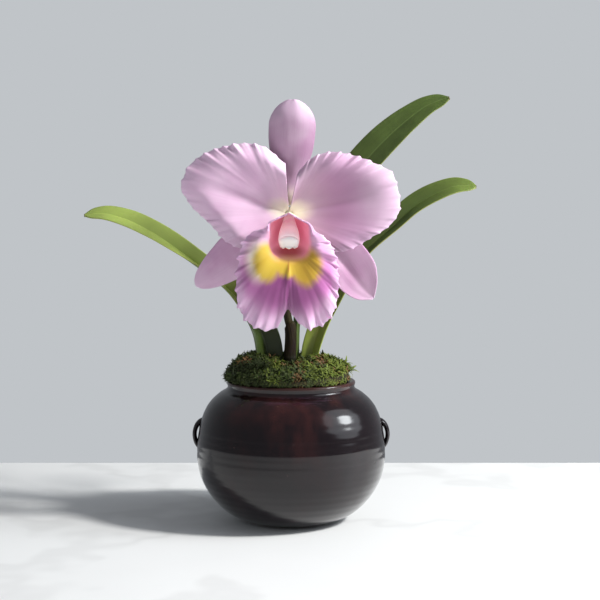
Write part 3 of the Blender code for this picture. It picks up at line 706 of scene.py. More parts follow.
def lip_material(name, inside):
    """Mauve skirt with a pale frill, two yellow lobes, a purple middle line and a crimson throat that glows
    with painted light.
    """
    s = Shader(name)
    uv, place = s.surface(), s.place()
    across, out = s.axis(uv, "X"), s.axis(uv, "Y")
    x, y, z = (s.axis(place, axis) for axis in "XYZ")
    wander = s.noise(place, 120, 3) - 0.5
    lines = s.fibres(across * 96 + wander * 1.2, out * 2.0)
    fine = s.fibres(across * 330 + wander * 2.0, out * 5.0, 2, 0.5)
    fade, streak_share = (1.0, 0.22) if inside else (0.35, 0.14)
    # Painted shade: the yellow deepens towards the right
    yellow = s.mix(s.ramp(x, *EYE_SHADE) * 0.6, paint("lip_eye"), linear(184, 142, 48))
    colour = lip_skirt(s, place, out, lines, wander, streak_share)
    colour = lip_lines(s, x, z, colour, fade)
    colour = lip_eye(s, x, z, colour, yellow, (lines - 0.5) * 0.004 + wander * 0.003, fade)
    red = lip_throat(s, x, y, z, yellow)
    throat = s.oval(x + wander * 0.004, z + wander * 0.010, *THROAT, 0.22, 3) * s.ramp(out, 0.58, 0.52)
    throat = throat.most(s.ramp(out, 0.40, 0.38))
    tube_back = s.mix(s.ramp(out, 0.46, 0.38), colour, paint("petal_heart"))
    relief = (lines * 0.6 + fine * 0.3) * s.ramp(out, 0.45, 0.7) + s.noise(place, 1600, 1) * 0.2
    return s.finish(
        Base_Color=s.mix(throat, colour, red) if inside else tube_back,
        Roughness=0.40 + s.noise(place, 500, 2) * 0.18,
        Normal=s.bump(relief, 0.0003, 0.10),
        # Painted light: the throat glows as if lit through the tube
        Emission_Color=s.mix(s.ramp(out, 0.56, 0.40), (0, 0, 0), red),
        Emission_Strength=THROAT_GLOW if inside else 0.0,
        **sheer(0.25, (1.0, 0.5, 0.8), 0.0020),
    )


def leaf_material(name, base, foot_shading_colour, mottle_and_shade_share, back=False):
    """Leathery green with fine lengthwise lines, a pale midrib, a yellow edge and a few old specks; the
    light and shade at its foot are painted in.
    """
    s = Shader(name)
    uv, place = s.surface(), s.place()
    across, along_leaf = s.axis(uv, "X"), s.axis(uv, "Y")
    wander = s.noise(place, 60, 2) - 0.5
    lines = s.fibres(across * 62 + wander * 0.5, along_leaf * 5.0)
    cloud = s.noise(place, 42, 3, 0.55)
    # Darker streaks and clouds; their share also paints shade on the leaves in shade
    shade = (s.ramp(lines, 0.40, 0.72) * 0.35 + s.ramp(cloud, 0.38, 0.66) * 0.55) * mottle_and_shade_share
    colour = s.mix(shade, base, tuple(c * 0.45 for c in base))
    rib = s.ramp(abs(across - 0.5), 0.030, 0.006)
    colour = s.mix(rib * (0.30 if back else 0.45), colour, tuple(min(c * 1.7 + 0.03, 1) for c in base))
    edge = s.ramp(abs(across - 0.5), 0.475, 0.497)
    colour = s.mix(edge * 0.55, colour, linear(176, 176, 96))
    # Towards the tip, a little of the foot's painted light and shade colour
    colour = s.mix(s.ramp(along_leaf, 0.55, 0.95) * 0.22, colour, foot_shading_colour)
    tip = s.ramp(along_leaf + wander * 0.02, 0.975, 0.992)
    colour = s.mix(tip * 0.8, colour, linear(92, 74, 34))
    # Painted light and shade at the leaf's foot
    foot = s.ramp(along_leaf, 0.38, 0.14)
    colour = s.mix(foot * 0.92, colour, foot_shading_colour)
    specks = s.ramp(s.cells(place, 260), 0.10, 0.05) * s.ramp(s.noise(place, 90, 1), 0.60, 0.66)
    colour = s.mix(specks * 0.5, colour, linear(70, 62, 30))
    relief = lines * 0.8 + s.noise(place, 900, 2) * 0.2
    return s.finish(
        Base_Color=colour,
        Roughness=(0.42 if back else 0.31) + s.noise(place, 160, 2) * 0.16,
        Normal=s.bump(relief, 0.0005, 0.45),
        Coat_Weight=0.0 if back else 0.22,
        Coat_Roughness=0.22,
        **sheer(0.10, (0.5, 1.0, 0.2), 0.0015),
    )


def stem_material():
    """Dark papery sheath below, a brown-green stalk above, and a purplish-green ovary. Sheath and stalk are
    kept near black, partly as painted shade from the bloom.
    """
    s = Shader("stem_tissue")
    uv, place = s.surface(), s.place()
    z = s.axis(place, "Z")
    across, share = s.axis(uv, "X"), s.axis(uv, "Y")
    lines = s.fibres(across * 60, share * 9)
    cloud = s.noise(place, 210, 3, 0.6)
    # Partly painted shade: the sheath and stalk are kept near black
    sheath = s.mix(s.ramp(lines, 0.35, 0.70), paint("stem"), linear(54, 46, 30))
    sheath = s.mix(s.ramp(cloud, 0.45, 0.70) * 0.6, sheath, linear(38, 26, 34))
    stalk = s.mix(s.ramp(lines, 0.40, 0.65), linear(34, 28, 18), linear(60, 56, 34))
    ovary = s.mix(s.ramp(lines, 0.42, 0.62), linear(168, 176, 120), linear(190, 160, 150))
    ovary = s.mix(s.ramp(share, 0.90, 0.97), ovary, paint("petal_heart"))
    colour = s.mix(s.ramp(z, *SHEATH_TOP), sheath, stalk)
    colour = s.mix(s.ramp(share, 0.60, 0.78), colour, ovary)
    foot = s.ramp(z, *STEM_FOOT)
    colour = s.mix(foot * 0.5, colour, linear(28, 40, 36))
    return s.finish(
        Base_Color=colour,
        Roughness=0.42 + cloud * 0.25,
        Specular_IOR_Level=0.14,
        Normal=s.bump(lines * 0.8 + cloud * 0.3, 0.0005, 0.7),
    )


def glaze_material():
    """Black-brown glaze, red-brown where it runs thin, with flecks, pits and a bare clay foot."""
    s = Shader("jar_glaze")
    place = s.place()
    z = s.axis(place, "Z")
    streak = s.noise(s.scaled(place, (70, 70, 14)), 1.0, 4, 0.6)
    cloud = s.noise(place, 24, 3, 0.55)
    thin = s.ramp(streak * 0.4 + cloud * 0.6, 0.46, 0.68) * (s.ramp(z, *THIN_GLAZE) * 0.5 + 0.12)
    rim = s.ramp(abs(z - JAR_RIM), 0.0022, 0.0004)
    colour = s.mix(thin, paint("glaze"), paint("glaze_thin"))
    colour = s.mix(rim * 0.25, colour, linear(90, 56, 46))
    speck = s.ramp(s.cells(place, 170), 0.10, 0.04) * s.ramp(s.noise(place, 55, 1), 0.56, 0.62)
    colour = s.mix(speck * 0.5, colour, linear(92, 70, 60))
    bare = s.ramp(z, *BARE_CLAY)
    colour = s.mix(bare, colour, linear(112, 74, 54))
    pits = s.ramp(s.cells(place, 95), 0.110, 0.040) * s.ramp(s.noise(place, 30, 1), 0.54, 0.60)
    orange_peel = s.noise(place, 210, 2, 0.4)
    relief = orange_peel * 0.10 + cloud * 0.6 - pits * 1.4
    rough = 0.17 + cloud * 0.08 + speck * 0.10 + bare * 0.6
    return s.finish(
        Base_Color=colour,
        Roughness=rough,
        Normal=s.bump(relief, 0.00030, 0.5),
        Coat_Weight=(1 - bare) * 0.9,
        Coat_Roughness=0.14,
        Coat_IOR=1.45,
        Specular_IOR_Level=0.12,
    )


def moss_material(name, low, high):
    """Shoots that brighten from their foot to their tip, in darker and brighter drifts."""
    s = Shader(name)
    uv, place = s.surface(), s.place()
    out = s.axis(uv, "Y")
    drift = s.ramp(s.noise(place, 75, 2), 0.36, 0.64)
    fleck = s.noise(place, 620, 2)
    bright = (s.ramp(out, 0.05, 0.95) * 0.75 + drift * 0.35) * (fleck * 0.8 + 0.45)
    return s.finish(
        Base_Color=s.mix(bright, low, high),
        Roughness=0.55 + fleck * 0.25,
        **sheer(0.08, (0.5, 1.0, 0.2), 0.0010),
    )


def cushion_material():
    """The dark bed of old moss and soil between the shoots."""
    s = Shader("moss_bed")
    place = s.place()
    grain = s.noise(place, 700, 3, 0.65)
    drift = s.noise(place, 90, 2)
    colour = s.mix(s.ramp(grain, 0.35, 0.70), linear(20, 16, 10), linear(66, 62, 30))
    colour = s.mix(s.ramp(drift, 0.48, 0.62) * 0.6, colour, linear(44, 54, 22))
    return s.finish(Base_Color=colour, Roughness=0.9, Normal=s.bump(grain, 0.0012, 0.9))


def bark_material():
    """Chips of brown bark, each in its own tone."""
    s = Shader("bark_mix")
    place = s.place()
    tone = s.axis(s.cells(place, 130, "Color"), "X")
    grain = s.noise(s.scaled(place, (900, 900, 260)), 1.0, 3)
    colour = s.mix(tone, linear(54, 36, 24), linear(128, 92, 60))
    colour = s.mix(grain * 0.5, colour, linear(36, 24, 16))
    relief = s.cells(place, 130) * 0.9 + grain * 0.2
    return s.finish(Base_Color=colour, Roughness=0.9, Normal=s.bump(relief, 0.0015, 0.9))


def root_material():
    """Silvery living roots and rhizome, greener where they are damp."""
    s = Shader("root_skin")
    place = s.place()
    cloud = s.noise(place, 160, 3)
    fibre = s.noise(place, 900, 2)
    colour = s.mix(s.ramp(cloud, 0.40, 0.62), linear(188, 184, 160), linear(132, 142, 96))
    colour = s.mix(fibre * 0.4, colour, linear(104, 86, 62))
    return s.finish(Base_Color=colour, Roughness=0.7, Normal=s.bump(fibre, 0.0006, 0.7))


def column_material(name, base, pale_tip, glow):
    """Waxy pale tissue that light shines through, shown by a painted glow in its own colour."""
    s = Shader(name)
    place = s.place()
    y = s.axis(place, "Y")
    cloud = s.noise(place, 240, 2)
    colour = s.mix(s.ramp(cloud, 0.35, 0.75) * 0.45, base, paint("petal_deep"))
    colour = s.mix(s.ramp(y, *COLUMN_PALER) * pale_tip, colour, paint("cap"))
    return s.finish(
        Base_Color=colour,
        Roughness=0.30 + cloud * 0.15,
        Normal=s.bump(cloud, 0.0003, 0.4),
        Coat_Weight=0.15,
        Coat_Roughness=0.2,
        # Painted light: the tissue glows in its own colour
        Emission_Color=colour,
        Emission_Strength=glow,
        **sheer(0.30, (1.0, 0.6, 0.6), 0.0020),
    )


def floor_material():
    """Pale honed stone with faint grey veins."""
    s = Shader("pale_slab")
    place = s.place()
    warp = s.noise(place, 3.5, 4, 0.6)
    vein = s.ramp(abs(warp - 0.5), 0.035, 0.0)
    cloud = s.ramp(s.noise(place, 6, 3), 0.35, 0.70)
    colour = s.mix(cloud * 0.25, linear(235, 236, 236), linear(222, 223, 223))
    colour = s.mix(vein * 0.25, colour, linear(196, 196, 196))
    return s.finish(Base_Color=colour, Roughness=0.46)


def calmed(slopes, secants):
    """Slopes that keep a curve of plain values from swinging past its stations."""
    before = np.concatenate([secants[:1], secants])
    after = np.concatenate([secants, secants[-1:]])
    limit = 3 * np.minimum(abs(before), abs(after)) * (before * after > 0)
    return np.clip(slopes, -limit, limit)


def along(stations, position):
    """The value at a position, on a smooth curve through (place, value) stations."""
    places = np.array([place for place, _ in stations], float)
    values = np.array([value for _, value in stations], float)
    slopes = np.gradient(values, places, axis=0)
    if values.ndim == 1:
        slopes = calmed(slopes, np.diff(values) / np.diff(places))
    k = int(np.clip(np.searchsorted(places, position) - 1, 0, len(places) - 2))
    span = places[k + 1] - places[k]
    t = (position - places[k]) / span
    start = values[k] * (2 * t**3 - 3 * t**2 + 1) + slopes[k] * span * (t**3 - 2 * t**2 + t)
    end = values[k + 1] * (3 * t**2 - 2 * t**3) + slopes[k + 1] * span * (t**3 - t**2)
    return start + end


def path_stations(points):
    """Stations for a path: each point at its share of the way along the chords."""
    points = np.array(points, float)
    steps = np.linalg.norm(np.diff(points, axis=0), axis=1)
    shares = np.concatenate([[0], np.cumsum(steps)]) / steps.sum()
    return list(zip(shares, points))


def unit(vector):
    """The same direction with a length of 1."""
    return vector / np.linalg.norm(vector)


def heading(path, share):
    """Unit direction of a path at a share of its length."""
    reach = 0.01
    return unit(along(path, min(share + reach, 1)) - along(path, max(share - reach, 0)))


def rough(x, y, z, scale):
    """Smooth noise from about -1 to 1 that changes over 1 / scale metres."""
    return noise.noise((x * scale, y * scale, z * scale))


def start_fresh():
    """Object mode with nothing selected."""
    if bpy.context.object and bpy.context.object.mode != "OBJECT":
        bpy.ops.object.mode_set(mode="OBJECT")
    bpy.ops.object.select_all(action="DESELECT")


def grid_piece(name, grid):
    """A grid primitive whose points are moved to a table of points, rows of equal length."""
    start_fresh()
    rows, columns = len(grid) - 1, len(grid[0]) - 1
    bpy.ops.mesh.primitive_grid_add(x_subdivisions=columns, y_subdivisions=rows, size=1)
    piece = bpy.context.object
    piece.name = piece.data.name = name
    piece.data.vertices.foreach_set("co", np.array(grid, np.float32).ravel())
    piece.data.update()
    return piece


def apply_modifier(piece, kind, **settings):
    """Adds a modifier with its settings and applies it."""
    modifier = piece.modifiers.new(kind.lower(), kind)
    for key, value in settings.items():
        setattr(modifier, key, value)
    bpy.context.view_layer.objects.active = piece
    bpy.ops.object.modifier_apply(modifier=modifier.name)


def weight_columns(piece, columns, weight):
    """A vertex group that holds weight(v) for each column of a grid piece, v from -1 to 1."""
    group = piece.vertex_groups.new(name="thickness")
    for vertex in piece.data.vertices:
        v = 2 * (vertex.index % (columns + 1)) / columns - 1
        group.add([vertex.index], weight(v), "REPLACE")
    return group.name


def flip_faces(piece):
    bpy.context.view_layer.objects.active = piece
    bpy.ops.object.mode_set(mode="EDIT")
    bpy.ops.mesh.select_all(action="SELECT")
    bpy.ops.mesh.flip_normals()
    bpy.ops.object.mode_set(mode="OBJECT")


def thicken(piece, front, back, thickness, edge_share=None, columns=None):
    """Gives a sheet its thickness, one material in front and one behind, and rounds it."""
    piece.data.materials.append(front)
    piece.data.materials.append(back)
    settings = {"thickness": thickness, "offset": 0, "material_offset": 1, "material_offset_rim": 0}
    if edge_share is not None:
        group = weight_columns(piece, columns, lambda v: 1 - (1 - edge_share) * abs(v) ** 1.6)
        settings["vertex_group"] = group
    apply_modifier(piece, "SOLIDIFY", **settings)
    apply_modifier(piece, "SUBSURF", levels=1, render_levels=1)
    bpy.ops.object.shade_smooth()


def fill_ends():
    """In edit mode, fills a skin's open ends and turns its faces outwards, then leaves edit mode."""
    bpy.ops.mesh.select_all(action="DESELECT")
    bpy.ops.mesh.select_non_manifold()
    bpy.ops.mesh.fill_holes(sides=0)
    bpy.ops.mesh.select_all(action="SELECT")
    bpy.ops.mesh.normals_make_consistent(inside=False)
    bpy.ops.object.mode_set(mode="OBJECT")


def close_skin(piece):
    """Joins a rolled grid along its seam and closes it."""
    bpy.context.view_layer.objects.active = piece
    bpy.ops.object.mode_set(mode="EDIT")
    bpy.ops.mesh.select_all(action="SELECT")
    bpy.ops.mesh.remove_doubles(threshold=0.000002)
    fill_ends()
    bpy.ops.object.shade_smooth_by_angle(angle=radians(50))


def turns(sides):
    """The angles round a ring, its first one again at the end."""
    return [2 * pi * k / sides for k in range(sides + 1)]


def settle(piece, slot, *nodes):
    """The piece rides on the plant's one body and stands for its CAD nodes, which are hidden. The slot is
    not used.
    """
    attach(piece, "root")
    if nodes:
        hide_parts(*nodes)


def jar_outline():
    """The jar's outline in close steps, with faint rings from the wheel on its outside."""
    path = path_stations(JAR_OUTLINE)
    points = []
    for i in range(JAR_OUTLINE_STEPS + 1):
        radius, height = along(path, i / JAR_OUTLINE_STEPS)
        outside = 1 if i < RINGS_END * JAR_OUTLINE_STEPS and height < RINGS_TOP else 0
        rings = sum(depth * sin(2 * pi * height / pitch + pitch * 900) for pitch, depth in THROWING_RINGS)
        points.append((radius + outside * rings * min(height / 0.01, 1), height))
    return points


def jar_body():
    """A ring extruded and scaled up the outline, then down inside and shut at both ends."""
    start_fresh()
    outline = jar_outline() + JAR_INSIDE
    radius, height = outline[0]
    bpy.ops.mesh.primitive_circle_add(vertices=JAR_SIDES, radius=radius, location=(0, 0, height))
    jar = bpy.context.object
    jar.name = jar.data.name = "glazed_jar"
    bpy.ops.object.mode_set(mode="EDIT")
    bpy.ops.mesh.select_all(action="SELECT")
    for following, rise in outline[1:]:
        bpy.ops.mesh.extrude_region_move(TRANSFORM_OT_translate={"value": (0, 0, rise - height)})
        share = following / radius
        bpy.ops.transform.resize(value=(share, share, 1), center_override=(0, 0, 0))
        radius, height = following, rise
    fill_ends()
    bpy.ops.object.transform_apply(location=True, rotation=True, scale=True)
    return jar


def jar_lug(side):
    """A strap loop pulled from clay: a ring squeezed flat, half sunk in the belly."""
    start_fresh()
    radii = {"major_radius": LUG_HALF_HEIGHT, "minor_radius": LUG_THICKNESS}
    segments = {"major_segments": 48, "minor_segments": 16}
    bpy.ops.mesh.primitive_torus_add(**radii, **segments, rotation=(pi / 2, 0, 0))
    lug = bpy.context.object
    bpy.ops.object.transform_apply(location=False, rotation=True, scale=False)
    bpy.ops.object.mode_set(mode="EDIT")
    bpy.ops.mesh.select_all(action="SELECT")
    bpy.ops.transform.resize(value=(LUG_REACH / LUG_HALF_HEIGHT, LUG_SPREAD, 1), center_override=(0, 0, 0))
    bpy.ops.transform.translate(value=(side * LUG_ROOT_RADIUS, 0, LUG_MIDDLE))
    bpy.ops.object.mode_set(mode="OBJECT")
    for vertex in lug.data.vertices:
        pinch = 1 - LUG_PINCH * (1 - ((vertex.co.z - LUG_MIDDLE) / LUG_HALF_HEIGHT) ** 2)
        vertex.co.y *= pinch + LUG_UNEVENNESS * rough(*vertex.co, 300)
    return lug


def join_into(piece, other):
    """Fuses another closed mesh into a piece."""
    apply_modifier(piece, "BOOLEAN", operation="UNION", object=other)
    bpy.data.objects.remove(other, do_unlink=True)


def strap_grid(blade, rows, columns, relief):
    """Points of a long blade from its root to its tip, each raised by relief(share, v)."""
    path = path_stations(blade["spine"])
    faces = blade.get("faces", [(0, -1, 0), (0, -1, 0)])
    looks = [(i / (len(faces) - 1), unit(np.array(face, float))) for i, face in enumerate(faces)]
    grid = []
    for i in range(rows + 1):
        share = 1 - (1 - i / rows) ** TIP_CROWDING
        forward = heading(path, share)
        across = unit(np.cross(forward, along(looks, share)))
        lift = np.cross(across, forward)
        half = along(blade["widths"], share)
        fold = radians(along(blade["fold"], share)) if "fold" in blade else 0.0
        row = []
        for j in range(columns + 1):
            v = 2 * j / columns - 1
            rise = abs(v) * sin(fold) + blade.get("cup", 0.0) * v * v
            uneven = 1 + blade.get("lean", 0.0) * v
            point = along(path, share) + half * (uneven * v * cos(fold) * across + rise * lift)
            row.append(point + lift * relief(share, v))
        grid.append(row)
    return grid


def leaf_sway(seed, share, v):
    """A slight wave of a leaf's two halves."""
    return LEAF_SWAY * sin(9 * share + 2.1 * seed + 1.5 * v) * abs(v) * min(share / 0.2, 1)


def sepal_relief(seed, depth, share, v):
    """A sepal's keel, its rolled edges and a little unevenness."""
    keel = -depth * np.exp(-((v / KEEL_WIDTH) ** 2)) * sin(pi * share)
    roll = -SEPAL_EDGE_ROLL * max(abs(v) - 0.7, 0) / 0.3 * sin(pi * min(share * 1.1, 1))
    return keel + roll + SEPAL_UNEVENNESS * noise.noise((share * 6, v * 2, seed * 3.1))


def fold_phases(outline, folds, angles):
    """How far the folds have turned at each ray: the distance round the edge over the local fold length."""
    ends = [along(outline, a) * np.array((cos(radians(a)), sin(radians(a)))) for a in angles]
    turned = [0.0]
    for angle, first, second in zip(angles, ends, ends[1:]):
        turned.append(turned[-1] + 2 * pi * np.linalg.norm(second - first) / along(folds, angle))
    return turned


def fold_ridge(phase, seed):
    """The turn of the folds with their unevenness, and how near it is to a ridge, from 0 to 1."""
    turned = phase + 0.9 * noise.noise((phase * 0.37, seed, 9.4))
    return turned, np.exp(-((sin(turned / 2) / 0.36) ** 2))


def fold_height(phase, inward, seed, fade):
    """Pleats along an edge: narrow ridges and soft hollows, uneven, that die out inwards."""
    # A tooth's point lies past the edge
    inward = max(inward, 0)
    unevenness = noise.noise((phase * 0.23, seed, 0.3))
    reach = fade * (1 + 0.8 * noise.noise((phase * 0.19, seed, 5.1)))
    turned, ridge = fold_ridge(phase, seed)
    pleat = (0.55 * sin(turned) + ridge - 0.3) * min(max(0.8 + 1.9 * unevenness, 0.15), 1.8)
    long_wave = 0.7 * sin(0.36 * phase + seed)
    crinkle = 0.26 * sin(2.63 * phase + 4 * unevenness)
    near, wide, brink = (np.exp(-((inward / (reach * share)) ** 1.5)) for share in (1, 2.4, 0.25))
    return pleat * near + long_wave * wide + crinkle * brink


def petal_depth(petal, angle, off_axis, t):
    """How far a petal stands forward: its bow and cup, less the groove on its axis, and its low swells."""
    cup = petal["cup"] * (1 - np.exp(-((off_axis / PETAL_TROUGH) ** 2))) * t**1.2
    groove = PETAL_GROOVE * sin(pi * t) * np.exp(-((off_axis / PETAL_GROOVE_WIDTH) ** 2))
    depth = along(petal["bow"], t) + cup - groove
    for middle, place, height in petal["swells"]:
        away = ((angle - middle) / SWELL_SPREAD) ** 2 + ((t - place) / SWELL_DEPTH) ** 2
        depth += height * np.exp(-away) * min(t / 0.3, 1)
    return depth


def petal_ray(petal, angle, phase, ruffle):
    """The points of a petal along one ray from the receptacle to its edge."""
    outline, seed = petal["outline"], petal["seed"]
    scallop = PETAL_SCALLOP * fold_ridge(phase, seed)[1]
    scallop += PETAL_NICKS * noise.noise((phase * 0.9, seed, 2.2))
    reach, turn = along(outline, angle), radians(angle)
    off_axis = 2 * (angle - petal["axis"]) / (outline[-1][0] - outline[0][0])
    pleat = ruffle * along(petal["pleats"], angle)
    ray = []
    for j in range(PETAL_ROWS + 1):
        t = (j / PETAL_ROWS) ** 0.8
        radius = PETAL_ROOT + (reach - PETAL_ROOT) * t + scallop * t**8
        x, z = radius * cos(turn), radius * sin(turn)
        roll = PETAL_ROLL * t * rough(x, seed, z, 42)
        fold = pleat * fold_height(phase, reach * (1 - t), seed, PETAL_FADE)
        ray.append(BLOOM + (x, -petal_depth(petal, angle, off_axis, t) - roll - fold, z))
    return ray


def petal_grid(petal, ruffle):
    """Rows of points round a petal, from its root to its edge."""
    outline = petal["outline"]
    angles = np.linspace(outline[0][0], outline[-1][0], PETAL_RAYS + 1)
    phases = fold_phases(outline, petal["folds"], angles)
    rays = [petal_ray(petal, angle, phase, ruffle) for angle, phase in zip(angles, phases)]
    return [list(row) for row in zip(*rays)]


def lip_tube_point(turn, mouth, t):
    """A point of the tube round the column, from its root at 0 to its mouth at 1."""
    root = np.array((BLOOM[0], RECEPTACLE_FRONT - ROOT_CLEARANCE, BLOOM[2] - LIP_ROOT_DROP))
    centre = root + (LIP_MOUTH - root) * (t, t, t**0.7)
    radius = LIP_ROOT_RADIUS + (mouth - LIP_ROOT_RADIUS) * t**0.7
    return centre + radius * np.array((sin(turn), 0, -cos(turn)))


def lip_point(angle, phase, share, ruffle):
    """A point of the lip on one ray, from the tube's root at 0 to the skirt's edge at 1."""
    turn = radians(angle)
    mouth, edge = along(LIP_MOUTH_RADII, angle), along(LIP_OUTLINE, angle)
    if share < LIP_TUBE_SHARE:
        return lip_tube_point(turn, mouth, share / LIP_TUBE_SHARE)
    t = (share - LIP_TUBE_SHARE) / (1 - LIP_TUBE_SHARE)
    fullness = min((edge - mouth) / LIP_FULL_SKIRT, 1)
    teeth = LIP_TEETH * sin(2 * phase + 3 * noise.noise((phase * 0.5, 1.0, 0.0)))
    points = (LIP_POINTS * (fold_ridge(phase, LIP_SEED)[1] - 0.3) + teeth) * fullness
    radius = mouth + (edge - mouth) * t**1.25 + points * t**8
    forward = LIP_SKIRT_FORWARD * sin(pi / 2 * min(t / 0.55, 1)) - LIP_SKIRT_BACK * fullness * t**2.2
    fold = fold_height(phase, edge - radius, LIP_SEED, LIP_FADE) * ruffle * fullness**0.6 * min(t / 0.2, 1)
    crest = LIP_CREST * np.exp(-((angle / 5) ** 2)) * sin(pi * min(t / 0.8, 1))
    return LIP_MOUTH + (radius * sin(turn), -forward - fold - crest, -radius * cos(turn))


def lip_grid(ruffle):
    """Rows of points round the lip, from the tube's root to the skirt's edge."""
    angles = np.linspace(-LIP_SEAM, LIP_SEAM, LIP_RAYS + 1)
    phases = fold_phases(LIP_OUTLINE, LIP_FOLDS, angles)
    shares = [j / LIP_ROWS for j in range(LIP_ROWS + 1)]
    return [[lip_point(*ray, share, ruffle) for ray in zip(angles, phases)] for share in shares]


def stem_grid():
    """Rings round the stem's path; the sheath ends in a slanted lip and the ovary is ribbed."""
    path = path_stations(STEM_PATH)
    grid = []
    for i in range(STEM_ROWS + 1):
        share = i / STEM_ROWS
        forward = heading(path, share)
        across = unit(np.cross(forward, (0.02, 1, 0.55)))
        upward = np.cross(forward, across)
        ribbed = sin(pi * np.clip((share - OVARY[0]) / (OVARY[1] - OVARY[0]), 0, 1))
        row = []
        for turn in turns(STEM_SIDES):
            slant = SHEATH_SLANT * cos(turn + 0.6) * np.exp(-(((share - SHEATH_END) / 0.05) ** 2))
            rib = 1 + OVARY_RIB_DEPTH * ribbed * cos(OVARY_RIBS * turn + 5 * share)
            radius = along(STEM_RADII, np.clip(share + slant, 0, 1)) * rib
            row.append(along(path, share) + radius * (cos(turn) * across + sin(turn) * upward))
        grid.append(row)
    return grid


def column_ring(share):
    """One flattened ring of the column, hollowed on its underside."""
    path = path_stations([COLUMN_ROOT, (COLUMN_ROOT + COLUMN_TIP) / 2 + COLUMN_ARCH, COLUMN_TIP])
    across = np.array((1.0, 0, 0))
    forward = heading(path, share) if share > 0 else np.array((0, -1.0, 0))
    upward = np.cross(forward, across)
    half_width, half_depth = along(COLUMN_WIDTHS, share), along(COLUMN_DEPTHS, share)
    ring = []
    for turn in turns(COLUMN_SIDES):
        under = max(-sin(turn), 0)
        flat = min(under * 1.35, 1) - under
        teeth = COLUMN_TOOTH * share**5 * min(under * 1.5, 1) * cos(COLUMN_TEETH * turn)
        lift = half_depth * (sin(turn) - flat) + COLUMN_HOLLOW * share * (1 - share) * under + teeth
        wide = np.sign(cos(turn)) * abs(cos(turn)) ** (1 - 0.45 * min(2 * under, 1))
        ring.append(along(path, share) + half_width * wide * across + lift * upward)
    return ring


def cap_grid():
    """A domed cap over the column's tip, its lower edge cut into small teeth."""
    forward = unit(COLUMN_TIP - (COLUMN_ROOT + COLUMN_TIP) / 2)
    base = np.array(column_ring(1)) + forward * ROOT_CLEARANCE
    centre = base[:-1].mean(axis=0)
    grid = []
    for t in np.linspace(0, 1, CAP_ROWS + 1):
        size = CAP_FIT * (1 - CAP_TAPER * t**3.2)
        row = []
        for point, turn in zip(base, turns(COLUMN_SIDES)):
            tooth = CAP_TOOTH * t * max(-sin(turn), 0) * cos(CAP_TEETH * 2 * (turn - pi / 2))
            row.append(centre + (point - centre) * size + forward * (CAP_LENGTH * t + tooth))
        grid.append(row)
    return grid


def moss_height(x, y):
    """Height of the moss cushion's top at a place."""
    radius = min((x * x + y * y) ** 0.5 / MOSS_RADIUS, 1)
    valley = np.exp(-(((x - VALLEY_MIDDLE) / VALLEY_WIDTH) ** 2)) * np.clip(0.5 - y / VALLEY_LENGTH, 0, 1)
    mounds = sum(h * np.exp(-(((x - a) / w) ** 2) - (y / MOUND_DEPTH) ** 2) for a, w, h in MOSS_MOUNDS)
    steepness = 3.2 + 2 * min(max(-x / 0.03, 0), 1)
    dome = (MOSS_HEIGHT * (1 - MOSS_VALLEY * valley) + mounds) * (1 - radius**steepness)
    lumps = 0.65 * rough(x, y, 0.02, 150) + 0.60 * rough(x, y, 0.5, 330)
    return JAR_TOP + MOSS_EDGE + dome + MOSS_LUMP * lumps * (1 - 0.5 * radius)


def moss_ring(radius):
    """Places round the cushion, which is drawn in a little at its right."""
    rim = [(radius * (1 - MOSS_DRAWN_IN * max(cos(turn), 0)), turn) for turn in turns(MOSS_SIDES)]
    return [(reach * cos(turn), reach * sin(turn)) for reach, turn in rim]


def moss_cushion():
    """A round grid pulled into the cushion's dome, with a skirt that tucks under it into the jar."""
    grid = []
    for share in np.linspace(0.02, 1, MOSS_RINGS + 1):
        grid.append([(x, y, moss_height(x, y)) for x, y in moss_ring(MOSS_RADIUS * share)])
    for radius, height in MOSS_SKIRT:
        grid.append([(x, y, JAR_TOP + height) for x, y in moss_ring(radius)])
    piece = grid_piece("moss_cushion", grid)
    piece.data.materials.append(cushion_material())
    close_skin(piece)
    return piece


def shoot_shape(leaves, generator):
    """Points and faces of one moss shoot: narrow curved leaves that spread from its foot."""
    points, faces, rises = [], [], []
    for leaf in range(leaves):
        turn = 2 * pi * leaf / leaves + generator.uniform(-0.4, 0.4)
        lean = generator.uniform(0.35, 1.15)
        length = generator.uniform(0.65, 1.1)
        width = generator.uniform(0.085, 0.140)
        curl = generator.uniform(0.5, 1.5)
        out = Vector((cos(turn), sin(turn), 0))
        side = Vector((-sin(turn), cos(turn), 0))
        first = len(points)
        place, pitch = Vector((0, 0, 0)), pi / 2 - 0.5 * lean
        for step in range(4):
            t = step / 3
            half = side * width * (1 - 0.75 * t**2) * length
            points += [place - half, place + half]
            rises += [t, t]
            place = place + (out * cos(pitch) + Vector((0, 0, 1)) * sin(pitch)) * (length / 3)
            pitch -= lean * 0.45 + curl * 0.35
        corners = [first + 2 * k for k in range(3)]
        faces += [(corner, corner + 1, corner + 3, corner + 2) for corner in corners]
    return np.array(points), faces, rises


def scatter_shoots(name, shapes, places, material):
    """One mesh of many turned, scaled copies of the shoot shapes."""
    all_points, all_faces, all_rises = [], [], []
    count = 0
    for shape, matrix in places:
        points, faces, rises = shapes[shape]
        moved = points @ matrix[:3, :3].T + matrix[:3, 3]
        all_points.append(moved)
        all_faces += [tuple(index + count for index in face) for face in faces]
        all_rises += rises
        count += len(points)
    mesh = bpy.data.meshes.new(name)
    mesh.from_pydata(np.concatenate(all_points).tolist(), [], all_faces)
    layer = mesh.uv_layers.new(name="UVMap")
    for loop in mesh.loops:
        layer.data[loop.index].uv = (0.5, all_rises[loop.vertex_index])
    mesh.materials.append(material)
    piece = bpy.data.objects.new(name, mesh)
    bpy.context.scene.collection.objects.link(piece)
    bpy.context.view_layer.objects.active = piece
    return piece


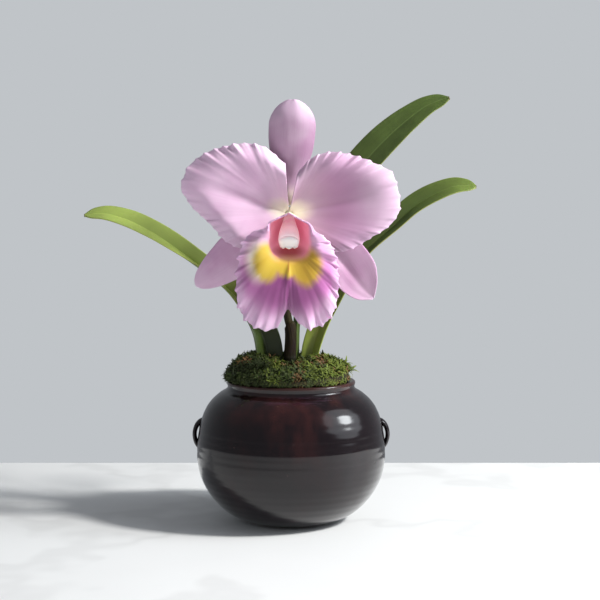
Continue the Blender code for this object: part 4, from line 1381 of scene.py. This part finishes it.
def turned_matrix(place, normal, spin, size):
    """A placing whose +Z lies along normal, as a 4 by 4 array."""
    up = unit(np.array(normal, float))
    side = unit(np.cross(up, (cos(spin), sin(spin), 0.1)))
    front = np.cross(up, side)
    matrix = np.identity(4)
    matrix[:3, 0], matrix[:3, 1], matrix[:3, 2] = side * size, front * size, up * size
    matrix[:3, 3] = place
    return matrix


def near_stand(x, y):
    """Whether a place on the moss is taken by the stem or a leaf's foot."""
    stands = [(*STEM_PATH[0][:2], STEM_STAND)]
    stands += [(*blade["spine"][0][:2], LEAF_STAND) for blade in LEAVES.values()]
    return any((x - a) ** 2 + (y - b) ** 2 < r * r for a, b, r in stands)


def shoot_kind(x, y, patch_and_light):
    """Which colour a shoot has: brown in a few spots, else bright or dark by its drift, which painted light
    makes brighter towards the right.
    """
    away = ((x - BROWN_SPOT[0]) ** 2 + (y - BROWN_SPOT[1]) ** 2) / BROWN_SPOT_RADIUS**2
    if rough(x, y, 2.7, 120) + 0.5 * np.exp(-away) > 0.40:
        return "brown"
    return "bright" if patch_and_light > 0.12 else "dark"


def moss_places(count, generator):
    """Where the shoots stand: a spiral over the cushion with jitter, leaning outwards near its edge."""
    found = {"dark": [], "bright": [], "brown": []}
    jitter = partial(generator.uniform, -0.35, 0.35)
    for i in range(count + MOSS_FRINGE):
        on_rim = i >= count
        share = 1.0 if on_rim else ((i + 0.5) / count) ** 0.5
        turn = i * GOLDEN_ANGLE
        reach = MOSS_RADIUS * share * (0.95 - 0.06 * cos(turn)) + generator.uniform(-0.0008, 0.0008)
        x, y = reach * cos(turn), reach * sin(turn)
        lean = 1.9 if on_rim else 0.15 + 0.75 * share**4
        normal = (lean * cos(turn) + jitter(), lean * sin(turn) + jitter(), 1)
        tall = TALL_SIZE if generator.random() < TALL_SHARE else 1
        size = sizes().shoot_length * generator.uniform(*SHOOT_SIZES) * (RIM_SIZE if on_rim else tall)
        height = max(moss_height(x, y) - SHOOT_SUNK, JAR_TOP + SHOOT_LOWEST)
        if on_rim:
            height = JAR_TOP + generator.uniform(*RIM_HEIGHTS)
        spin = generator.uniform(0, 2 * pi)
        shape = generator.randrange(SHOOT_SHAPES)
        # Painted light: the drifts grow brighter towards +X, the lit side
        patch_and_light = rough(x, y, 0.9, 85) + 0.45 * x / MOSS_RADIUS + jitter()
        if not near_stand(x, y):
            placing = turned_matrix((x, y, height), normal, spin, size)
            found[shoot_kind(x, y, patch_and_light)].append((shape, placing))
    return found


class MakeJar(bpy.types.Operator):
    """Throw the glazed jar with its two lugs"""

    bl_idname = "cattleya.jar"
    bl_label = "Jar"

    def execute(self, context):
        jar = jar_body()
        jar.data.materials.append(glaze_material())
        for side in (-1, 1):
            join_into(jar, jar_lug(side))
        bpy.context.view_layer.objects.active = jar
        jar.select_set(True)
        bpy.ops.object.shade_smooth_by_angle(angle=radians(40))
        settle(jar, "glaze", "jar")
        return {"FINISHED"}


class MakeBed(bpy.types.Operator):
    """Finish the potting mix and the rhizome inside the jar"""

    bl_idname = "cattleya.bed"
    bl_label = "Potting mix and rhizome"

    def execute(self, context):
        for node, material in (("potting_mix", bark_material()), ("rhizome", root_material())):
            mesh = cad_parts[node].data
            mesh.materials.clear()
            mesh.materials.append(material)
        return {"FINISHED"}


class MakeMoss(bpy.types.Operator):
    """Grow the moss cushion and its shoots"""

    bl_idname = "cattleya.moss"
    bl_label = "Moss"

    def execute(self, context):
        settle(moss_cushion(), "moss", "moss")
        generator = random.Random(SHOOT_SEED)
        shapes = [shoot_shape(SHOOT_LEAVES, generator) for _ in range(SHOOT_SHAPES)]
        tones = {
            "dark": (linear(36, 44, 20), linear(66, 78, 36)),
            "bright": (paint("moss"), paint("moss_tip")),
            "brown": (linear(46, 34, 20), linear(122, 92, 56)),
        }
        for kind, places in moss_places(sizes().moss_shoots, generator).items():
            material = moss_material(f"moss_{kind}", *tones[kind])
            settle(scatter_shoots(f"moss_shoots_{kind}", shapes, places, material), "moss")
        return {"FINISHED"}


class MakeStem(bpy.types.Operator):
    """Grow the flower stem from its sheathed foot to the receptacle"""

    bl_idname = "cattleya.stem"
    bl_label = "Flower stem"

    def execute(self, context):
        stem = grid_piece("stem", stem_grid())
        stem.data.materials.append(stem_material())
        close_skin(stem)
        settle(stem, "stem", "flower_stem")
        return {"FINISHED"}


class MakeLeaves(bpy.types.Operator):
    """Grow the three strap leaves"""

    bl_idname = "cattleya.leaves"
    bl_label = "Leaves"

    def execute(self, context):
        for seed, (name, blade) in enumerate(LEAVES.items()):
            grid = strap_grid(blade, LEAF_ROWS, LEAF_COLUMNS, partial(leaf_sway, seed))
            piece = grid_piece(f"{name}_blade", grid)
            tone, foot, dark = blade["paint"], blade["foot"], blade["dark"]
            front = leaf_material(f"{name}_face", paint(tone), foot, dark)
            back = leaf_material(f"{name}_back", paint(tone, LEAF_BACK_LIGHT), foot, dark * 0.6, back=True)
            thicken(piece, front, back, sizes().leaf_thickness, LEAF_EDGE_SHARE, LEAF_COLUMNS)
            settle(piece, "leaf", name)
        return {"FINISHED"}


class MakeSepals(bpy.types.Operator):
    """Grow the upper sepal and the two side sepals"""

    bl_idname = "cattleya.sepals"
    bl_label = "Sepals"

    def execute(self, context):
        back = petal_material("sepal_back", 0.8, back=True)
        for seed, (name, blade) in enumerate(SEPALS.items()):
            grid = strap_grid(blade, SEPAL_ROWS, SEPAL_COLUMNS, partial(sepal_relief, seed, blade["keel"]))
            piece = grid_piece(f"{name}_blade", grid)
            front = petal_material(f"{name}_face", 1.9, shade_tint=blade["shade_tint"], pale_from=blade["pale_from"])
            thicken(piece, front, back, sizes().petal_thickness)
            settle(piece, "petal", name)
        return {"FINISHED"}


class MakePetals(bpy.types.Operator):
    """Grow the two broad ruffled petals"""

    bl_idname = "cattleya.petals"
    bl_label = "Petals"

    def execute(self, context):
        back = petal_material("petal_back", 0.9, back=True)
        for name, petal in PETALS.items():
            piece = grid_piece(f"{name}_blade", petal_grid(petal, sizes().petal_ruffle))
            flip_faces(piece)
            front = petal_material(f"{name}_face", 1.0, shade_tint=petal["shade_tint"])
            thicken(piece, front, back, sizes().petal_thickness)
            settle(piece, "petal", name)
        return {"FINISHED"}


class MakeLip(bpy.types.Operator):
    """Grow the frilled lip and its tube"""

    bl_idname = "cattleya.lip"
    bl_label = "Lip"

    def execute(self, context):
        lip = grid_piece("lip_frill", lip_grid(sizes().lip_ruffle))
        flip_faces(lip)
        inside, outside = lip_material("lip_inside", True), lip_material("lip_outside", False)
        thicken(lip, inside, outside, sizes().lip_thickness)
        settle(lip, "lip", "lip")
        return {"FINISHED"}


class MakeColumn(bpy.types.Operator):
    """Grow the column and its anther cap"""

    bl_idname = "cattleya.column"
    bl_label = "Column and cap"

    def execute(self, context):
        rings = [column_ring(i / COLUMN_ROWS) for i in range(COLUMN_ROWS + 1)]
        tissue = column_material("column_tissue", paint("column"), pale_tip=0.7, glow=0.26)
        self.make_skin("column_hood", rings, tissue, "column", "column")
        tissue = column_material("cap_tissue", paint("cap"), pale_tip=0.9, glow=0.08)
        self.make_skin("anther_hood", cap_grid(), tissue, "cap", "anther_cap")
        return {"FINISHED"}

    def make_skin(self, name, rings, material, slot, node):
        piece = grid_piece(name, rings)
        piece.data.materials.append(material)
        close_skin(piece)
        settle(piece, slot, node)


class MakeStage(bpy.types.Operator):
    """Set the pale slab, the soft light and the camera"""

    bl_idname = "cattleya.stage"
    bl_label = "Stage"

    def execute(self, context):
        start_fresh()
        self.make_floor()
        for name, light in LIGHTS.items():
            self.add_light(name, *light)
        self.make_world(context.scene)
        bpy.ops.object.camera_add(location=CAMERA_PLACE, rotation=(radians(90 + CAMERA_PITCH), 0, 0))
        camera = bpy.context.object
        camera.data.lens = CAMERA_LENS
        context.scene.camera = camera
        context.scene.view_settings.view_transform = "Standard"
        return {"FINISHED"}

    def make_floor(self):
        width, depth = FLOOR_SIZE
        place = (0, FLOOR_BACK - depth / 2, -FLOOR_THICKNESS / 2)
        bpy.ops.mesh.primitive_cube_add(size=1, location=place, scale=(width, depth, FLOOR_THICKNESS))
        floor = bpy.context.object
        floor.name = "floor"
        bpy.ops.object.transform_apply(location=True, rotation=True, scale=True)
        apply_modifier(floor, "BEVEL", width=FLOOR_BEVEL, segments=3)
        floor.data.materials.append(floor_material())

    def add_light(self, name, place, aim, size, power, colour):
        turn = (Vector(aim) - Vector(place)).to_track_quat("-Z", "Y").to_euler()
        bpy.ops.object.light_add(type="AREA", location=place, rotation=turn)
        lamp = bpy.context.object
        lamp.name = name
        lamp.data.energy = power
        lamp.data.shape = "DISK"
        lamp.data.size = size
        lamp.data.color = colour
        lamp.visible_glossy = name in SEEN_IN_GLAZE

    def make_world(self, scene):
        """A pale backdrop to look at, and a dimmer room to light and reflect."""
        world = bpy.data.worlds.new("room")
        world.use_nodes = True
        scene.world = world
        tree = world.node_tree
        seen = tree.nodes["Background"]
        seen.inputs["Color"].default_value = (*BACKDROP, 1)
        room = tree.nodes.new("ShaderNodeBackground")
        room.inputs["Color"].default_value = (*ROOM_LIGHT, 1)
        room.inputs["Strength"].default_value = ROOM_STRENGTH
        rays = tree.nodes.new("ShaderNodeLightPath")
        choice = tree.nodes.new("ShaderNodeMixShader")
        tree.links.new(rays.outputs["Is Camera Ray"], choice.inputs[0])
        tree.links.new(room.outputs[0], choice.inputs[1])
        tree.links.new(seen.outputs[0], choice.inputs[2])
        tree.links.new(choice.outputs[0], tree.nodes["World Output"].inputs["Surface"])


PIECES = (
    MakeJar, MakeBed, MakeMoss, MakeStem, MakeLeaves, MakeSepals, MakePetals, MakeLip, MakeColumn, MakeStage
)


class CattleyaPanel(bpy.types.Panel):
    """Lists the pieces and the sizes and colours that they take"""

    bl_idname = "VIEW3D_PT_cattleya"
    bl_label = "Cattleya"
    bl_space_type = "VIEW_3D"
    bl_region_type = "UI"
    bl_category = "Cattleya"

    def draw(self, context):
        for piece in PIECES:
            self.layout.operator(piece.bl_idname)
        for group in (context.scene.cattleya_sizes, context.scene.cattleya_colours):
            for name in group.__annotations__:
                self.layout.prop(group, name)


CLASSES = (PlantSizes, PlantColours, *PIECES, CattleyaPanel)


def register():
    for cls in CLASSES:
        bpy.utils.register_class(cls)
    bpy.types.Scene.cattleya_sizes = bpy.props.PointerProperty(type=PlantSizes)
    bpy.types.Scene.cattleya_colours = bpy.props.PointerProperty(type=PlantColours)


def unregister():
    del bpy.types.Scene.cattleya_colours
    del bpy.types.Scene.cattleya_sizes
    for cls in reversed(CLASSES):
        bpy.utils.unregister_class(cls)


def main():
    register()
    for piece in PIECES:
        group, operator = piece.bl_idname.split(".")
        getattr(getattr(bpy.ops, group), operator)()


if __name__ == "__main__":
    main()
